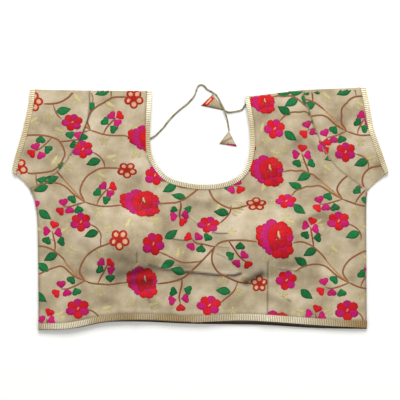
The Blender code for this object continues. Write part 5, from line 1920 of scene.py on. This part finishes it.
@dataclass
class Bed:
    """One stretch of cloth that embroidery is sewn to, with the outline that it stops at."""

    name: str
    outline: Points
    height: Height
    under: bool = False
    mirrored: bool = False

    def __post_init__(self) -> None:
        """Starts the bed's mesh."""
        self.mesh_edit = Chart.blank()
        self.ring = np.vstack([self.outline, self.outline[:1]])

    def plan(self, chart_xy: Points) -> Points:
        """Gives the plan of places in the chart, mirrored where the bed is."""
        places = from_chart(chart_xy)
        if self.mirrored:
            places[:, 0] *= -1
        return places

    def set_motif(self, chart: Chart, motif: Motif, x: float, y: float, turn_deg: float,
                  stretch_xy: tuple[float, float] = (1.0, 1.0)) -> None:
        """Sets one motif, cut off where the bed ends."""
        centre = self.plan(np.array([(x, y)]))[0]
        reach = chart.reach[motif] * max(stretch_xy)
        gap = float(distance_to(centre[None, :], self.ring)[0])
        within = bool(inside(centre[None, :], self.outline)[0])
        if not within and (gap > reach or (y > HEM_ZONE and motif is not LARGE)):
            return
        if motif is LEAF and y > LOWEST_LEAF:
            return
        single = Chart.blank()
        single.from_mesh(chart.templates[motif])
        places = coordinates(single)
        spun = turned(places[:, :2], turn_deg) * stretch_xy
        if self.mirrored:
            spun[:, 0] *= -1
        places[:, :2] = spun + centre
        set_coordinates(single, places)
        tone = single.verts.layers.float["tone"]
        shift = float(chart.random.uniform(-PATCH_TONE, PATCH_TONE))
        for vert in single.verts:
            vert[tone] = shift
        if gap < reach:
            self.trim(single, centre, reach)
        append(self.mesh_edit, single)

    def trim(self, single: bmesh.types.BMesh, centre: Points, reach: float) -> None:
        """Cuts a motif along the bed's outline and drops what lies outside it."""
        line = even_points(self.ring, round(run_of(self.ring)[-1] / TRIM_STEP))
        for start, end in zip(line[:-1], line[1:]):
            if np.hypot(*((start + end) / 2 - centre)) <= reach + TRIM_STEP:
                run = end - start
                cut_at(single, start, (run[1], -run[0]), 1e-5)
        keep_inside(single, line[:-1])

    def set_vine(self, chart: Chart, floss: Floss, share: float, chart_line: Points) -> None:
        """Sews one vine along a line of places in the chart."""
        line = self.plan(chart_line)
        if not inside(line, self.outline).any():
            return
        count = max(4, round(run_of(line)[-1] / VINE_STEP))
        line = even_points(line, count)
        single = Chart.blank()
        column, row = numbered_grid(single, count - 1, VINE_ROWS)
        across = row / VINE_ROWS - 0.5
        taper = np.minimum(1, 0.45 + 0.14 * np.minimum(column, count - 1 - column))
        width = VINE_WIDTH * share * taper
        xy = line[column] + left_of(line)[column] * (across * width)[:, None]
        round_up = np.sqrt(np.maximum(0, 1 - (1.7 * across) ** 2))
        lift = VINE_RELIEF * share * (0.3 + 0.7 * round_up)
        set_coordinates(single, np.column_stack([xy, lift]))
        rim, tone = single.verts.layers.float["rim"], single.verts.layers.float["tone"]
        shift = float(chart.random.uniform(-VINE_TONE, VINE_TONE))
        # A vine's edges get a rim value that darkens them: partly where stitches dive, partly painted shade
        # of its round
        for vert, high in zip(single.verts, round_up):
            vert[rim], vert[tone] = 0.8 * (1 - high), shift
        slant = across * VINE_SLANT
        map_stitches(single, np.column_stack([run_of(line)[column] * 0.8 + slant, slant]))
        for face in single.faces:
            face.material_index = chart.flosses.index(floss)
        keep_inside(single, self.outline)
        append(self.mesh_edit, single)

    def set_unit(self, chart: Chart, fork: tuple[float, float], motifs: Sequence, vines: Sequence,
                 flower: tuple[float, float] = (1.0, 1.0)) -> None:
        """Sets one half of the repeat, its hearts pointing at their nearest vine."""
        origin = np.array(fork)
        move = shifted if any(fork) else np.array
        lines = []
        for floss, share, *points in vines:
            line = move(catmull_rom(np.array(points, float) + origin, 8))
            lines.append(line)
            self.set_vine(chart, floss, share, line)
        vine_points = np.vstack(lines)
        for motif, x, y, *given in motifs:
            place = move(np.array([(x, y)], float) + origin)[0]
            gap = vine_points - place
            best = gap[np.hypot(gap[:, 0], gap[:, 1]).argmin()]
            turn = given[0] if given else math.degrees(math.atan2(-best[1], best[0]))
            sizes = flower if motif is LARGE else (1.0, 1.0)
            for squashed_x, squashed_y, *shares in FORESHORTENED:
                if math.dist(place, (squashed_x, squashed_y)) < FORESHORTENED_REACH:
                    sizes = tuple(shares)
            self.set_motif(chart, motif, place[0], place[1], turn, sizes)

    def finish(self, chart: Chart) -> bpy.types.Object:
        """Drapes the patches onto the cloth and gives them their wall."""
        mesh_edit = self.mesh_edit
        places = coordinates(mesh_edit)
        heights = self.height(places[:, :2])
        layer = mesh_edit.verts.layers.float["height"]
        for vert, height in zip(mesh_edit.verts, heights.tolist()):
            vert[layer] = height
        raised = extruded(mesh_edit)
        sign, share = (-1, FLUSH_SHARE) if self.under else (1, 1.0)
        for vert in mesh_edit.verts:
            if vert in raised:
                vert.co.z = vert[layer] + sign * share * vert.co.z
            else:
                vert.co.z = vert[layer] - sign * STITCH_ROOT
        bmesh.ops.recalc_face_normals(mesh_edit, faces=mesh_edit.faces[:])
        return make_piece(mesh_edit, f"embroidery_{self.name}", chart.flosses, sharp_deg=55)


@dataclass
class Embroidery:
    """All the satin stitch: the front, both sleeves, and a flush share of it on the underside."""

    sleeves: dict[str, Sleeve]
    inset: float = 0.0007

    def front_bed(self) -> Points:
        """Gives the front's outline less the braid that is sewn over its edges."""
        neck = inward(EDGES["front_neck"], NECK_BRAID_WIDTH + BED_GAP, False)
        hem = inward(EDGES["front_hem"], HEM_BRAID_WIDTH + BED_GAP, True)
        # Two places on each side keep the stitches clear of the shoulder's seam
        return np.vstack([
            inward(EDGES["left_armhole"], self.inset, False)[2:-1],
            np.array([(-0.160, 0.1756), (neck[0][0], 0.1745)]), neck[1:-1],
            np.array([(neck[-1][0], 0.1661), (0.150, 0.1765)]),
            inward(EDGES["right_armhole"], self.inset, False)[1:-2],
            inward(EDGES["right_side"], self.inset, False)[1:-2],
            hem[::-1][1:-1], inward(EDGES["left_side"], self.inset, True)[::-1][2:-1],
        ])

    def sleeve_bed(self, side: str) -> Points:
        """Gives a sleeve's outline less its cuff braid, its fold and its seam."""
        lines = self.sleeves[side].lines()
        end = lines[-1]
        # A section further in gives the direction in which the braid lies
        run = lines[-8] - end
        cuff = end + run * ((CUFF_BRAID_WIDTH + 0.0004) / np.linalg.norm(run, axis=1))[:, None]
        kept = lines[:-3]
        sign = 1 if side == "left" else -1
        start = lines[0] + np.array([-sign * self.inset, 0])
        low = np.array([line[-3] for line in kept[1:]])
        high = np.array([line[1] for line in kept[1:]])
        return np.vstack([start[1:-2], low, cuff[1:-2][::-1], high[::-1]])

    def back_bed(self, side: str) -> Points:
        """Gives the outline of half the back less its braid."""
        sign = -1 if side == "left" else 1
        neck = inward(half_edge("back_neck", side), NECK_BRAID_WIDTH + BED_GAP, False)
        hem = inward(half_edge("back_hem", side), HEM_BRAID_WIDTH + BED_GAP, True)
        edge = sign * self.inset
        side_line = inward(EDGES[f"{side}_side"], self.inset, side == "left")
        armhole = inward(EDGES[f"{side}_armhole"], self.inset, False)
        if side == "left":
            return np.vstack([
                [(edge, neck[-1][1]), (edge, hem[-1][1])], hem[::-1][1:-1], side_line[::-1][1:-1],
                armhole[1:-1], [(-0.160, 0.1745), (neck[0][0], 0.1740)], neck[1:-1],
            ])
        return np.vstack([
            [(edge, hem[0][1]), (edge, neck[0][1])], neck[1:-1], [(neck[-1][0], 0.1655), (0.150, 0.1755)],
            armhole[1:-1], side_line[1:-1], hem[::-1][1:-1],
        ])

    def build(self) -> None:
        """Sets the repeat on every stretch of cloth."""
        chart = Chart()
        soft_shadows = [(from_chart(points), reach, strength)
                        for reach, strength, *points in PAINTED_SHADOW_LINES if reach > BROAD_REACH]
        beds = [Bed("front", self.front_bed(), DRAPE.face)]
        for side in ("left", "right"):
            beds.append(Bed(f"sleeve_{side}", self.sleeve_bed(side), DRAPE.face))
            beds.append(Bed(f"back_{side}", self.back_bed(side), DRAPE.floor_face, True, True))
            beds.append(Bed(f"sleeve_under_{side}", self.sleeve_bed(side), DRAPE.floor_face, True))
        for bed in beds:
            is_sleeve = bed.name.startswith("sleeve")
            if is_sleeve and bed.name.endswith("left"):
                bed.set_unit(chart, (0, 0), LEFT_SLEEVE_MOTIFS, LEFT_SLEEVE_VINES)
            else:
                for x, y, *flower in RIGHT_SLEEVE_FORKS if is_sleeve else FORKS_A:
                    bed.set_unit(chart, (x, y), UNIT_A, VINES_A, tuple(flower))
                for index, (x, y, *flower) in enumerate(() if is_sleeve else FORKS_B):
                    motifs, vines = UNIT_B, VINES_B
                    if index == 0:
                        motifs = [row for row in UNIT_B if row[1] > FIRST_FORK_LEAST_X]
                        vines = [row for row in VINES_B if row[-1][0] > FIRST_FORK_LEAST_X]
                    bed.set_unit(chart, (x, y), motifs, vines, tuple(flower))
            if bed.name == "sleeve_right":
                bed.set_unit(chart, (0, 0), RIGHT_SLEEVE_MOTIFS, RIGHT_SLEEVE_VINES)
            if bed.name == "front":
                bed.set_unit(chart, (0, 0), FRONT_MOTIFS, FRONT_VINES)
            piece = bed.finish(chart)
            if bed.name == "front":
                # Paints the soft shadows of the cloth's folds onto the front's floss
                paint_shade_near(piece, soft_shadows)
        for template in chart.templates.values():
            bpy.data.meshes.remove(template)


def main() -> None:
    """Builds the studio and every piece of the blouse in order."""
    logging.basicConfig(level=logging.INFO, format="%(message)s")
    bpy.context.scene.view_settings.view_transform = "Standard"
    Studio().build()
    for tie in TIES:
        tie.build()
    Panels().build()
    sleeves = {side: Sleeve(side) for side in ("left", "right")}
    for side, sleeve in sleeves.items():
        sleeve.build()
        Pad(side).build()
    Trims().build()
    Embroidery(sleeves).build()


if __name__ == "__main__":
    main()
